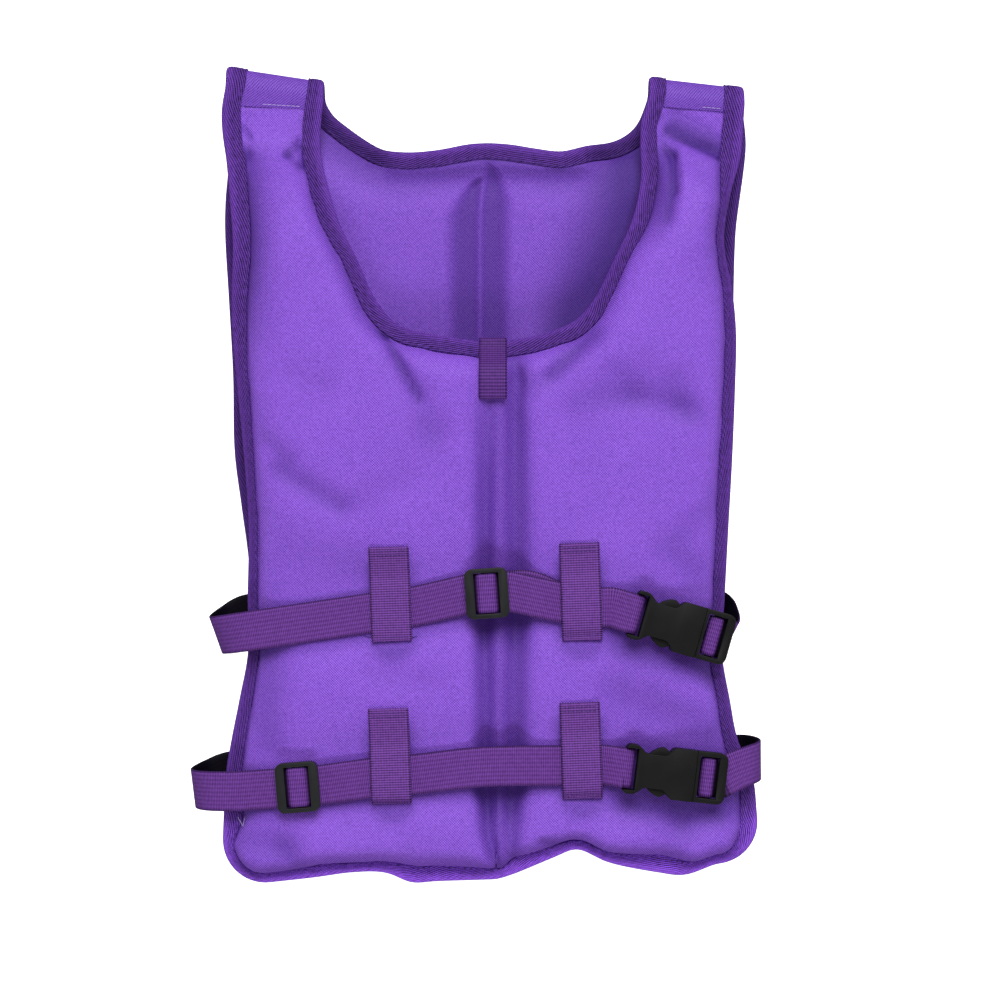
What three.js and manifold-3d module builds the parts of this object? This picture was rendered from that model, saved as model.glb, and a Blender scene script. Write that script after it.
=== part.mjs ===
// Buoyancy vest: two foam-filled cloth panels joined by folded shoulder straps, edged with twill tape,
// and closed by two webbing belts with plastic sliders and side-release buckles.
// Millimetres. The vest lies on its back: +Y runs from the hem to the shoulders, +Z out of the chest.
import * as THREE from 'three';
import { mergeVertices } from 'three/addons/utils/BufferGeometryUtils.js';
import Module from 'manifold-3d';

const wasm = await Module();
wasm.setup();

// Cloth, foam and tape
const CLOTH = 1.5;
const RIM = 3;
const RIM_WIDTH = 12.5;
const RIM_FADE = [190, 222];
const ROLL = 26;
const FRONT_FOAM = 22;
const BACK_FOAM = 20;
const FRONT_FADE = [165, 215];
const BACK_FADE = [190, 232];
const TAPE = { wall: 1, cavity: 2.3, overlap: 10.2, clearance: 0.4 };

// Heights of the front panel's middle surface, its arch across the chest and its drooping rim
const FRONT_MID = 40;
const FRONT_DROOP = 4;
const ARCH = { rise: 6, centre: 10, half: 150 };
const SHOULDER_DROP = [135, 226];

// Shoulder fold: the back strap turns over with this radius and laps on the front strap
const BACK_RIM_Z = 6;
const FOLD_RADIUS = 8;
const FOLD_STEPS = 6;
const FLAP_Z = BACK_RIM_Z + 2 * FOLD_RADIUS;
const LAP_GAP = 0.35;
const FRONT_STRAP_Z = FLAP_Z - CLOTH - LAP_GAP;
const LAP_TAPE_Z = (FLAP_Z + FRONT_STRAP_Z) / 2;
const FRONT_STRAP_SETBACK = 1;

// Centre valley between the two foam pads of a panel
const VALLEY_HALF = 13;
const FRONT_VALLEY = { topX: 11, topY: 84, bottomX: 14, bottomY: -254, depth: 0.72, neckDepth: 0.4 };
const BACK_VALLEY = { topX: 8, topY: 210, bottomX: 8, bottomY: -237, depth: 0.6, neckDepth: 0.5 };
const VALLEY_FADE = [10, 60];

// Grid of a panel half: columns stand at these distances from its two insets, and one half way
const COLUMN_REACH = [0, 5, 14, 32];
const COLUMN_SPAN = 80;
const HEM_BLEND_ROWS = 4;
const CORNER_STEPS = 3;

// Belts and their hardware
const WEBBING = { width: 25, thick: 1.6 };
const LAYER = { under: 1.2, over: 3.2 };
const BELT_BACK_Z = WEBBING.thick / 2 + 0.1;
const GROOVE = { width: 25.8, top: 2.1 };
const TURN = { steps: 6, power: 0.74 };
const LEAST_MITER = 0.7;
const LOOP = { width: 25, thick: 1.4, sewn: 1.1, overOne: 3.1, overTwo: 5.1, rise: 3, lean: -0.035 };
const TAB = { x: 11.3, width: 17.5, thick: 1.2, clearance: 0.6, lip: 2.2, bend: 1.5, inside: 68 };
const TAB_ROWS = [47.3, 52, 57, 62, 66];

// Outer edge of the front panel at each height
const FRONT_SIDES = [
  { y: -190, left: -156.7, right: 174.5 },
  { y: -168, left: -153.2, right: 165.2 },
  { y: -142, left: -148, right: 160 },
  { y: -112, left: -142.5, right: 155 },
  { y: -76, left: -142.7, right: 156.8 },
  { y: -35, left: -142, right: 159 },
  { y: 5, left: -144.5, right: 161.3 },
  { y: 50, left: -148.8, right: 163.2 },
  { y: 90, left: -152.4, right: 164 },
  { y: 115, left: -153, right: 161.8 },
  { y: 148, left: -151.3, right: 156.3 },
  { y: 178, left: -153.8, right: 161 },
  { y: 205, left: -157.5, right: 168.4 },
  { y: 224, left: -159, right: 170 },
];
const BACK_SIDES = [
  { y: -168, left: -155, right: 167 },
  { y: -112, left: -144.5, right: 157 },
  { y: -60, left: -144.5, right: 158.5 },
  { y: -20, left: -149.5, right: 161 },
  { y: 15, left: -154, right: 163 },
  { y: 64, left: -155, right: 165 },
  { y: 110, left: -157.5, right: 165 },
  { y: 158, left: -160, right: 166.5 },
  { y: 190, left: -160.5, right: 171 },
  { y: 214, left: -161, right: 173 },
];

// Rounded lower corners: centre and radius
const FRONT_CORNERS = { left: { x: -132.4, y: -230.4, r: 26 }, right: { x: 151.7, y: -218.5, r: 26 } };
const BACK_CORNERS = { left: { x: -136, y: -213, r: 24 }, right: { x: 155, y: -213, r: 24 } };

// Hem line from the centre outwards, with the lift of its ruffles
const FRONT_HEM = {
  centre: { x: 14, y: -253.5, lift: -1 },
  left: [
    { x: -26, y: -255, lift: -2 },
    { x: -40, y: -256, lift: -3 },
    { x: -56, y: -249.2, lift: 1 },
    { x: -78, y: -249.2, lift: 1 },
    { x: -100, y: -252.5, lift: 0 },
  ],
  right: [
    { x: 24, y: -250, lift: 1 },
    { x: 50, y: -239, lift: 4 },
    { x: 64, y: -234, lift: 6 },
    { x: 84, y: -242.6, lift: 3 },
    { x: 118, y: -250, lift: -1 },
    { x: 131, y: -251.5, lift: -1 },
  ],
};
const BACK_HEM = {
  centre: { x: 8, y: -237, lift: 0 },
  left: [{ x: -70, y: -237.5, lift: 0 }],
  right: [{ x: 85, y: -237.5, lift: 0 }],
};

// Neck edge from the centre up to the shoulders
const FRONT_NECK = {
  centre: { x: 12, y: 82 },
  left: [
    { x: -25.6, y: 87.3 },
    { x: -48, y: 93.5 },
    { x: -63, y: 109 },
    { x: -75.6, y: 136 },
    { x: -86.9, y: 168 },
    { x: -94, y: 193 },
    { x: -96.5, y: 218 },
  ],
  right: [
    { x: 45, y: 88.5 },
    { x: 64.6, y: 97 },
    { x: 76.5, y: 111 },
    { x: 88, y: 135 },
    { x: 99.5, y: 163 },
    { x: 104.5, y: 190 },
    { x: 104.5, y: 218 },
  ],
};
const BACK_NECK = {
  centre: { x: 9.3, y: 211.5 },
  left: [
    { x: -24, y: 207 },
    { x: -45, y: 206 },
    { x: -60, y: 209.5 },
    { x: -75, y: 220 },
    { x: -88, y: 230 },
  ],
  right: [
    { x: 38, y: 208 },
    { x: 56, y: 206.2 },
    { x: 72, y: 210.5 },
    { x: 92, y: 215 },
    { x: 104, y: 224 },
  ],
};

// Each shoulder: where its fold starts and where the flap ends, at the armhole edge and the neck edge
const SHOULDERS = {
  left: { outerX: -157.5, outerFold: 249, outerSeam: 236, innerX: -95.5, innerFold: 239.5, innerSeam: 232 },
  right: { outerX: 169.3, outerFold: 235.7, outerSeam: 227.5, innerX: 108, innerFold: 242.4, innerSeam: 234 },
};

// Creases of the front: from one end to the other, how deep and how wide
const DENTS = [
  { x0: -57, y0: 84, x1: -28, y1: 38, deep: 3.5, wide: 9 },
  { x0: 72, y0: 84, x1: 41, y1: 60, deep: 3, wide: 9 },
  { x0: -132, y0: 22, x1: -116, y1: 6, deep: 3, wide: 9 },
  { x0: -126, y0: 2, x1: -82, y1: -22, deep: 3, wide: 9 },
  { x0: 128, y0: 58, x1: 140, y1: 34, deep: 3, wide: 12 },
  { x0: -64, y0: -118, x1: -20, y1: -128, deep: 2, wide: 10 },
  { x0: 84, y0: -60, x1: 124, y1: -54, deep: 2, wide: 10 },
];
const PUCKERS = [
  { x0: 113, y0: 216, x1: 152, y1: 194, deep: 2.5, wide: 7 },
  { x0: -140, y0: 206, x1: -112, y1: 196, deep: 1.8, wide: 7 },
];

const PANELS = {
  front: {
    sides: FRONT_SIDES, corners: FRONT_CORNERS, hem: FRONT_HEM, neck: FRONT_NECK,
    valleyRows: 12, neckRows: 10, neckShare: 0.58, setback: FRONT_STRAP_SETBACK,
  },
  back: {
    sides: BACK_SIDES, corners: BACK_CORNERS, hem: BACK_HEM, neck: BACK_NECK,
    valleyRows: 15, neckRows: 6, neckShare: 0.84, setback: 0,
  },
};

// Belt routes over the front (left of the slider and right of it), hardware places and side turns
const BELTS = {
  upper: {
    slider: { x: 7.6, y: -73.7, angle: 0 },
    buckle: { x: 130.3, y: -95.6, angle: -0.283 },
    leftRun: [{ x: -38.5, y: -82.2 }, { x: -67.2, y: -86.5 }, { x: -90.2, y: -90 }],
    rightRun: [{ x: 53.2, y: -79.3 }, { x: 79.1, y: -82.5 }],
    leftTurn: { frontX: -105, frontY: -92.2, reach: -164, reachY: -100, backX: -149, backY: -95, lean: -0.3 },
    rightTurn: { reach: 168.8, reachY: -104, backX: 161, backY: -96, lean: 0.1 },
    tail: [{ u: 31, z: 0.9 }, { u: 33.6, z: -1.5 }, { u: 34.6, z: -6 }, { u: 34.4, z: -26 }],
  },
  lower: {
    slider: { x: -109.8, y: -194.5, angle: 0.087 },
    buckle: { x: 126.7, y: -186, angle: -0.122 },
    leftRun: [],
    rightRun: [
      { x: -65.9, y: -189.1 },
      { x: -38.5, y: -186.6 },
      { x: 3.3, y: -181.9 },
      { x: 53.2, y: -181 },
    ],
    leftTurn: {
      frontX: -137, frontY: -197, reach: -178.5, reachY: -198.6, backX: -161.5, backY: -194, lean: -0.12,
    },
    rightTurn: { reach: 181.5, reachY: -183, backX: 174.5, backY: -184, lean: 0.08 },
    tail: [{ u: 33, z: 1.2 }, { u: 40, z: -0.6 }, { u: 46, z: -4 }],
  },
};
const BELT_LOOPS = [
  { name: 'upper_left_loop', belt: 'upper', x: -52.2, bottom: -103.7, top: -45.1, over: LOOP.overOne },
  { name: 'upper_right_loop', belt: 'upper', x: 66.3, bottom: -103, top: -42.6, over: LOOP.overTwo },
  { name: 'lower_left_loop', belt: 'lower', x: -52.2, bottom: -204.7, top: -145.4, over: LOOP.overTwo },
  { name: 'lower_right_loop', belt: 'lower', x: 66.6, bottom: -201.6, top: -141.7, over: LOOP.overTwo },
];

// Slider and buckle sizes: u along the belt, v across it, z above the foam
const CHAMFER_SHARE = 0.3;
const SLIDER = {
  u: 13.5, v: 16.5, corner: 3, bottom: 2.6, top: 8.2, opening: 13, slot: [3, 9], bar: 5, lift: 4.4,
};
const SOCKET = {
  outline: [
    { u: -32, v: 13.2 },
    { u: -30, v: 15.2 },
    { u: -24.6, v: 15.2 },
    { u: -18, v: 10.5 },
    { u: -6, v: 10.5 },
    { u: -2, v: 16 },
    { u: 12, v: 16 },
  ],
  bottom: 0.6, top: 10.6, opening: 13, bar: [2.6, 5.6], slot: [-28.6, -24.6],
  cavity: { from: -20, half: 13.5, bottom: 2.8, top: 8.4 },
};
const PLUG = {
  from: 12.4, to: 32, half: 16, corner: 3, bottom: 2.4, top: 9, opening: 13,
  slots: [[14.4, 18.5], [23.5, 28.4]], bar: [18.5, 23.5], barTop: 5, endBar: [4.4, 8.4],
  arm: [
    { u: 12.6, v: 12.8 },
    { u: -3.5, v: 12.8 },
    { u: -8, v: 15.6 },
    { u: -12, v: 14.6 },
    { u: -18.6, v: 9.4 },
    { u: -18.6, v: 6 },
    { u: -10, v: 9 },
    { u: 8, v: 9 },
    { u: 8, v: 2 },
    { u: -14, v: 2 },
  ],
  armBottom: 3.2, armTop: 8,
};

// How the webbing goes round the socket's bar and through the slider and the plug
const ROUND_SOCKET_BAR = [
  { u: -36, z: 1.2 },
  { u: -28.6, z: 1.2 },
  { u: -27.2, z: 2.6 },
  { u: -27.2, z: 5.6 },
  { u: -28.6, z: 7 },
  { u: -32, z: 7 },
  { u: -36, z: 5 },
  { u: -45, z: 2.6 },
];
const UNDER_SLIDER = [
  { u: -1, z: 1.2 },
  { u: 25, z: 1.2 },
];
const THROUGH_SLIDER = [
  { u: 14, z: 3.2 },
  { u: 8.4, z: 3.2 },
  { u: 4, z: 6.2 },
  { u: -4, z: 6.2 },
  { u: -8.4, z: 3.2 },
  { u: -14, z: 3.2 },
  { u: -25, z: 1.2 },
];
const THROUGH_PLUG = [
  { u: 32, z: 3.2 },
  { u: 27.6, z: 3.2 },
  { u: 24.2, z: 6.2 },
  { u: 18.3, z: 6.2 },
  { u: 16.7, z: 5 },
  { u: 16.7, z: 2.6 },
  { u: 18.4, z: 1.2 },
  { u: 24, z: 1.2 },
];

// Colours and roughness
const FINISH = {
  cloth: { color: '#8b58d4', roughness: 0.8 },
  tape: { color: '#522d8e', roughness: 0.85 },
  webbing: { color: '#65398f', roughness: 0.7 },
  plastic: { color: '#222424', roughness: 0.45 },
};

const SIDES = ['left', 'right'];
const UP = new THREE.Vector3(0, 0, 1);
const mix = THREE.MathUtils.lerp;
const smoothstep = THREE.MathUtils.smoothstep;

function point(x, y, z = 0) {
  return new THREE.Vector3(x, y, z);
}

function spline(points) {
  return new THREE.CatmullRomCurve3(points, false, 'centripetal');
}

// A closed wall of cloth, tape or webbing, from pairs of points on its two faces.
class Wall {
  outer = [];
  inner = [];
  triangles = [];

  vertex(outer, inner) {
    this.outer.push(outer);
    this.inner.push(inner);
    return this.outer.length - 1;
  }

  // Rows of vertex numbers; a row may repeat its neighbour's vertex where the grid narrows.
  patch(rows) {
    for (let r = 0; r + 1 < rows.length; r++) {
      for (let c = 0; c + 1 < rows[r].length; c++) {
        const corners = [rows[r][c], rows[r][c + 1], rows[r + 1][c + 1], rows[r + 1][c]];
        this.triangle(corners[0], corners[1], corners[2]);
        this.triangle(corners[0], corners[2], corners[3]);
      }
    }
  }

  triangle(a, b, c) {
    if (a !== b && b !== c && c !== a) {
      this.triangles.push([a, b, c]);
    }
  }

  geometry() {
    const count = this.outer.length;
    const faces = [];
    const edges = new Set();
    for (const [a, b, c] of this.triangles) {
      faces.push([a, b, c], [c + count, b + count, a + count]);
      edges.add(`${a},${b}`).add(`${b},${c}`).add(`${c},${a}`);
    }
    for (const edge of edges) {
      const [a, b] = edge.split(',').map(Number);
      if (!edges.has(`${b},${a}`)) {
        faces.push([b, a, a + count], [b, a + count, b + count]);
      }
    }
    return closedGeometry([...this.outer, ...this.inner], faces);
  }
}

// A geometry from points and triangles, turned so that its faces point out.
function closedGeometry(points, faces) {
  const volume = faces.reduce((sum, [a, b, c]) => {
    return sum + points[a].dot(points[b].clone().cross(points[c]));
  }, 0);
  const index = volume < 0 ? faces.map(([a, b, c]) => [c, b, a]) : faces;
  const geometry = new THREE.BufferGeometry().setFromPoints(points);
  geometry.setIndex(index.flat());
  geometry.computeVertexNormals();
  return geometry;
}

function toSolid(geometry) {
  const bare = geometry.clone();
  for (const name of Object.keys(bare.attributes)) {
    if (name !== 'position') {
      bare.deleteAttribute(name);
    }
  }
  const merged = mergeVertices(bare, 1e-4);
  const vertProperties = new Float32Array(merged.attributes.position.array);
  const triVerts = new Uint32Array(merged.index.array);
  return new wasm.Manifold(new wasm.Mesh({ numProp: 3, vertProperties, triVerts }));
}

function toGeometry(solid) {
  const { vertProperties, triVerts } = solid.getMesh();
  const geometry = new THREE.BufferGeometry();
  geometry.setAttribute('position', new THREE.BufferAttribute(new Float32Array(vertProperties), 3));
  geometry.setIndex(new THREE.BufferAttribute(new Uint32Array(triVerts), 1));
  geometry.computeVertexNormals();
  return geometry;
}

function cut(geometry, tools) {
  return toGeometry(tools.reduce((solid, tool) => solid.subtract(toSolid(tool)), toSolid(geometry)));
}

function join(first, second) {
  return toGeometry(toSolid(first).add(toSolid(second)));
}

function block([u0, u1], [v0, v1], [z0, z1]) {
  return new THREE.BoxGeometry(u1 - u0, v1 - v0, z1 - z0)
    .translate((u0 + u1) / 2, (v0 + v1) / 2, (z0 + z1) / 2);
}

// A plate whose outline is given for v > 0 and mirrored across the belt's centre line.
function mirroredPlate(half, bottom, top) {
  const outline = [...half, ...[...half].reverse().map(({ u, v }) => ({ u, v: -v }))];
  const shape = new THREE.Shape(outline.map(({ u, v }) => new THREE.Vector2(u, v)));
  const options = { depth: top - bottom, bevelEnabled: false };
  return new THREE.ExtrudeGeometry(shape, options).translate(0, 0, bottom);
}

// A plate with softened corners, each of two chamfers.
function roundedPlate([u0, u1], half, corner, bottom, top) {
  const chamfer = corner * CHAMFER_SHARE;
  return mirroredPlate([
    { u: u0, v: half - corner },
    { u: u0 + chamfer, v: half - chamfer },
    { u: u0 + corner, v: half },
    { u: u1 - corner, v: half },
    { u: u1 - chamfer, v: half - chamfer },
    { u: u1, v: half - corner },
  ], bottom, top);
}

function distanceToSegment(x, y, a, b) {
  const along = ((x - a.x) * (b.x - a.x) + (y - a.y) * (b.y - a.y)) / ((b.x - a.x) ** 2 + (b.y - a.y) ** 2);
  const t = THREE.MathUtils.clamp(along, 0, 1);
  return Math.hypot(x - mix(a.x, b.x, t), y - mix(a.y, b.y, t));
}

function distanceToLine(x, y, line) {
  let nearest = Infinity;
  for (let k = 0; k + 1 < line.length; k++) {
    nearest = Math.min(nearest, distanceToSegment(x, y, line[k], line[k + 1]));
  }
  return nearest;
}

// Depth of a set of creases at a point.
function creaseDepth(creases, x, y) {
  return creases.reduce((sum, { x0, y0, x1, y1, deep, wide }) => {
    const distance = distanceToSegment(x, y, { x: x0, y: y0 }, { x: x1, y: y1 });
    return sum + deep * Math.exp(-((distance / wide) ** 2));
  }, 0);
}

// The fold or seam line of a shoulder, at a place across it.
function shoulderY(side, x, line) {
  const { outerX, innerX, [`outer${line}`]: outer, [`inner${line}`]: inner } = SHOULDERS[side];
  return mix(outer, inner, (x - outerX) / (innerX - outerX));
}

// Edge points and inset points of one half of a panel: hem, corner and side in one line, and the neck.
function halfOutline({ sides, corners, hem, neck, valleyRows, neckRows, neckShare, setback }, side) {
  const sign = side === 'left' ? -1 : 1;
  const corner = corners[side];
  const shoulder = SHOULDERS[side];
  const foldPoint = (x) => point(x, shoulderY(side, x, 'Fold') - setback);
  const across = foldPoint(shoulder.innerX).sub(foldPoint(shoulder.outerX)).setZ(0).normalize();
  const inset = (edge, tangent, turn) => {
    const inward = point(-tangent.y, tangent.x).multiplyScalar(turn);
    return { edge, inset: edge.clone().addScaledVector(inward, RIM_WIDTH) };
  };

  const hemLine = spline([
    point(hem.centre.x, hem.centre.y),
    ...hem[side].map(({ x, y }) => point(x, y)),
    point(corner.x, corner.y - corner.r),
  ]);
  const fractions = columnFractions(hemLine.getLength()).slice(0, -1);
  const hemRim = fractions.map((t) => inset(hemLine.getPointAt(t), hemLine.getTangentAt(t), sign));
  hemRim[0].inset = point(hem.centre.x, hem.centre.y + RIM_WIDTH);

  const cornerInset = point(corner.x, corner.y).add(point(sign, -1).setLength(corner.r - RIM_WIDTH));
  const cornerRim = [];
  for (let k = 0; k <= CORNER_STEPS; k++) {
    const angle = (Math.PI / 2) * (k / CORNER_STEPS);
    const edge = point(corner.x + sign * corner.r * Math.sin(angle), corner.y - corner.r * Math.cos(angle));
    cornerRim.push({ edge, inset: cornerInset });
  }

  const sideLine = spline([
    point(corner.x + sign * corner.r, corner.y),
    ...sides.map((row) => point(row[side], row.y)),
    foldPoint(shoulder.outerX),
  ]);
  const rows = valleyRows + neckRows;
  const sideRim = [];
  for (let j = 1; j <= rows; j++) {
    const t = j <= valleyRows
      ? (j / valleyRows) * neckShare
      : mix(neckShare, 1, (j - valleyRows) / neckRows);
    sideRim.push(inset(sideLine.getPointAt(t), sideLine.getTangentAt(t), sign));
  }
  const sideTop = sideRim.at(-1);
  sideTop.inset = sideTop.edge.clone().addScaledVector(across, RIM_WIDTH);

  const neckLine = spline([
    point(neck.centre.x, neck.centre.y),
    ...neck[side].map(({ x, y }) => point(x, y)),
    foldPoint(shoulder.innerX),
  ]);
  const neckRim = [];
  for (let k = 0; k <= neckRows; k++) {
    const t = k / neckRows;
    neckRim.push(inset(neckLine.getPointAt(t), neckLine.getTangentAt(t), -sign));
  }
  neckRim[0].inset = point(neck.centre.x, neck.centre.y - RIM_WIDTH);
  const neckTop = neckRim.at(-1);
  neckTop.inset = neckTop.edge.clone().addScaledVector(across, -RIM_WIDTH);

  return { side, sign, hemRim, cornerRim, sideRim, neckRim, cornerInset, valleyRows, rows };
}

// Shares of a row at which its columns stand.
function columnFractions(length) {
  const scale = Math.min(1, length / COLUMN_SPAN);
  const near = COLUMN_REACH.map((reach) => (reach * scale) / length);
  return [...near, 0.5, ...near.map((share) => 1 - share).reverse()];
}

// Plan points of the foam grid inside the rim of one half, row by row from the hem to the shoulder.
function foamGrid(half) {
  const { hemRim, sideRim, neckRim, cornerInset, valleyRows, rows } = half;
  const hemRow = [...hemRim.map(({ inset }) => inset), cornerInset];
  const grid = [hemRow];
  for (let j = 1; j <= rows; j++) {
    const inner = j < valleyRows
      ? hemRow[0].clone().lerp(neckRim[0].inset, j / valleyRows)
      : neckRim[j - valleyRows].inset;
    const outer = sideRim[j - 1].inset;
    const shares = columnFractions(inner.distanceTo(outer));
    const blend = Math.max(0, 1 - j / HEM_BLEND_ROWS);
    grid.push(shares.map((share, i) => {
      const straight = hemRow[0].clone().lerp(hemRow.at(-1), share);
      const inside = i > 0 && i < shares.length - 1;
      const ruffle = hemRow[i].clone().sub(straight).multiplyScalar(inside ? blend : 0);
      return inner.clone().lerp(outer, share).add(ruffle);
    }));
  }
  return grid;
}

function outerRim({ hemRim, cornerRim, sideRim }) {
  return [...hemRim, ...cornerRim, ...sideRim];
}

// Edge lines of a whole panel: round the outside and round the neck.
function edgeLines(halves) {
  const [left, right] = halves;
  const outside = (half) => outerRim(half).map(({ edge }) => edge);
  const neck = ({ neckRim }) => neckRim.map(({ edge }) => edge);
  return [
    [...outside(left).reverse(), ...outside(right).slice(1)],
    [...neck(left).reverse(), ...neck(right).slice(1)],
  ];
}

const frontHalves = SIDES.map((side) => halfOutline(PANELS.front, side));
const backHalves = SIDES.map((side) => halfOutline(PANELS.back, side));
const frontEdges = edgeLines(frontHalves);
const backEdges = edgeLines(backHalves);

// How far the foam has swelled at a place, from 0 at the rim to 1 inside.
function swell(x, y, edges, fade) {
  const distance = Math.min(...edges.map((line) => distanceToLine(x, y, line)));
  const roll = THREE.MathUtils.clamp((distance - RIM_WIDTH) / ROLL, 0, 1);
  return Math.sqrt(1 - (1 - roll) ** 2) * (1 - smoothstep(y, ...fade));
}

function valleyFactor(x, y, { topX, topY, bottomX, bottomY, depth, neckDepth }) {
  const centre = mix(bottomX, topX, (y - bottomY) / (topY - bottomY));
  const deep = mix(depth, neckDepth, smoothstep(y, ...VALLEY_FADE));
  return 1 - deep * Math.exp(-(((x - centre) / VALLEY_HALF) ** 2));
}

function rimThickness(y) {
  return mix(RIM, CLOTH, smoothstep(y, ...RIM_FADE));
}

function arch(x) {
  const { rise, centre, half } = ARCH;
  return rise * Math.max(0, 1 - ((x - centre) / half) ** 2);
}

function archSlope(x) {
  return (-2 * ARCH.rise * (x - ARCH.centre)) / ARCH.half ** 2;
}

// Lift of the front's rim along its ruffled hem.
function hemLift(x, y) {
  const { centre, left, right } = FRONT_HEM;
  const rows = [...[...left].reverse(), centre, ...right];
  const next = rows.findIndex((row) => row.x > x);
  const near = 1 - smoothstep(y, centre.y + RIM_WIDTH, centre.y + RIM_WIDTH + ROLL);
  if (next <= 0) {
    return 0;
  }
  const [a, b] = [rows[next - 1], rows[next]];
  return near * mix(a.lift, b.lift, (x - a.x) / (b.x - a.x));
}

function frontMid(x, y, foam) {
  const chest = FRONT_MID + arch(x) - FRONT_DROOP * (1 - foam) + hemLift(x, y);
  const pucker = creaseDepth(PUCKERS, x, y) * (1 - smoothstep(y, ...RIM_FADE));
  return mix(chest, FRONT_STRAP_Z, smoothstep(y, ...SHOULDER_DROP)) - pucker;
}

// Heights of the two faces of the front panel at a place.
function frontFaces(x, y, foam) {
  const rim = rimThickness(y);
  const half = (rim + (FRONT_FOAM - rim) * foam * valleyFactor(x, y, FRONT_VALLEY)) / 2;
  const mid = frontMid(x, y, foam);
  return { outer: mid + half - foam * creaseDepth(DENTS, x, y), inner: mid - half };
}

// Heights of the two faces of the back panel at a place; its outer face lies on the ground.
function backFaces(x, y, foam) {
  const half = rimThickness(y) / 2;
  const rise = BACK_FOAM - BACK_RIM_Z - half;
  return {
    outer: (BACK_RIM_Z - half) * (1 - foam),
    inner: BACK_RIM_Z + half + rise * foam * valleyFactor(x, y, BACK_VALLEY),
  };
}

// A panel of two halves that share the valley: foam grids, outer rim and neck rim.
function panelWall(halves, edges, fade, faces) {
  const wall = new Wall();
  const known = new Map();
  const vertexAt = (place, foam) => {
    const key = `${place.x.toFixed(3)},${place.y.toFixed(3)}`;
    if (!known.has(key)) {
      const { outer, inner } = faces(place.x, place.y, foam);
      known.set(key, wall.vertex(point(place.x, place.y, outer), point(place.x, place.y, inner)));
    }
    return known.get(key);
  };
  const shoulderRows = {};
  for (const half of halves) {
    const { side, sign, neckRim, valleyRows } = half;
    const turned = (row) => (sign < 0 ? [...row].reverse() : row);
    const rimRow = ({ edge, inset }) => [vertexAt(inset, 0), vertexAt(edge, 0)];
    const outside = outerRim(half).map(rimRow);
    const neck = neckRim.map((station) => rimRow(station).reverse());
    const foam = foamGrid(half).map((row, j) => row.map((place, i) => {
      const onNeck = i === 0 && j >= valleyRows;
      const onRim = j === 0 || i === row.length - 1 || onNeck;
      return vertexAt(place, onRim ? 0 : swell(place.x, place.y, edges, fade));
    }));
    for (const rows of [outside, neck, foam]) {
      wall.patch(rows.map(turned));
    }
    shoulderRows[side] = turned([neck.at(-1)[0], ...foam.at(-1), outside.at(-1)[1]]);
  }
  return { wall, shoulderRows };
}

// The shoulder strap of the back: over the fold, then the flap down to its seam.
function foldShoulder(wall, row, side) {
  const places = row.map((id) => wall.outer[id]);
  const rows = [row];
  for (let k = 1; k <= FOLD_STEPS; k++) {
    const angle = Math.PI * (k / FOLD_STEPS);
    rows.push(places.map(({ x }) => {
      const centre = point(x, shoulderY(side, x, 'Fold'), BACK_RIM_Z + FOLD_RADIUS);
      const out = point(0, Math.sin(angle), -Math.cos(angle));
      const outer = centre.clone().addScaledVector(out, FOLD_RADIUS + CLOTH / 2);
      const inner = centre.clone().addScaledVector(out, FOLD_RADIUS - CLOTH / 2);
      return wall.vertex(outer, inner);
    }));
  }
  rows.push(places.map(({ x }) => {
    const y = shoulderY(side, x, 'Seam');
    return wall.vertex(point(x, y, FLAP_Z + CLOTH / 2), point(x, y, FLAP_Z - CLOTH / 2));
  }));
  wall.patch(rows);
}

function frontPanel() {
  return panelWall(frontHalves, frontEdges, FRONT_FADE, frontFaces).wall.geometry();
}

function backPanel() {
  const { wall, shoulderRows } = panelWall(backHalves, backEdges, BACK_FADE, backFaces);
  for (const side of SIDES) {
    foldShoulder(wall, shoulderRows[side], side);
  }
  return cut(wall.geometry(), Object.values(BELTS).map(backGroove));
}

// The furrow that a belt presses into the back panel.
function backGroove({ leftTurn, rightTurn }) {
  const [x0, x1] = [leftTurn.backX, rightTurn.backX];
  const [y0, y1] = [leftTurn.backY, rightTurn.backY];
  return new THREE.BoxGeometry(Math.hypot(x1 - x0, y1 - y0) + GROOVE.width, GROOVE.width, 2 * GROOVE.top)
    .rotateZ(Math.atan2(y1 - y0, x1 - x0))
    .translate((x0 + x1) / 2, (y0 + y1) / 2, 0);
}

// Middle of a panel's rim in space.
function rimStation({ edge, inset }, faces) {
  const lift = (place) => {
    const { outer, inner } = faces(place.x, place.y, 0);
    return point(place.x, place.y, (outer + inner) / 2);
  };
  return { edge: lift(edge), inset: lift(inset) };
}

// Stations of the tape from the front strap over the fold to the back strap.
function foldStations(frontTop, backTop) {
  const stations = [{
    edge: frontTop.edge.clone().setZ(LAP_TAPE_Z),
    inset: frontTop.inset.clone().setZ(LAP_TAPE_Z),
  }];
  const middle = (LAP_TAPE_Z + BACK_RIM_Z) / 2;
  for (let k = 1; k < FOLD_STEPS; k++) {
    const angle = Math.PI * (k / FOLD_STEPS);
    const turn = ({ x, y }) => point(
      x,
      y + FOLD_RADIUS * Math.sin(angle),
      middle + (LAP_TAPE_Z - middle) * Math.cos(angle),
    );
    stations.push({ edge: turn(backTop.edge), inset: turn(backTop.inset) });
  }
  return stations;
}

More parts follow.
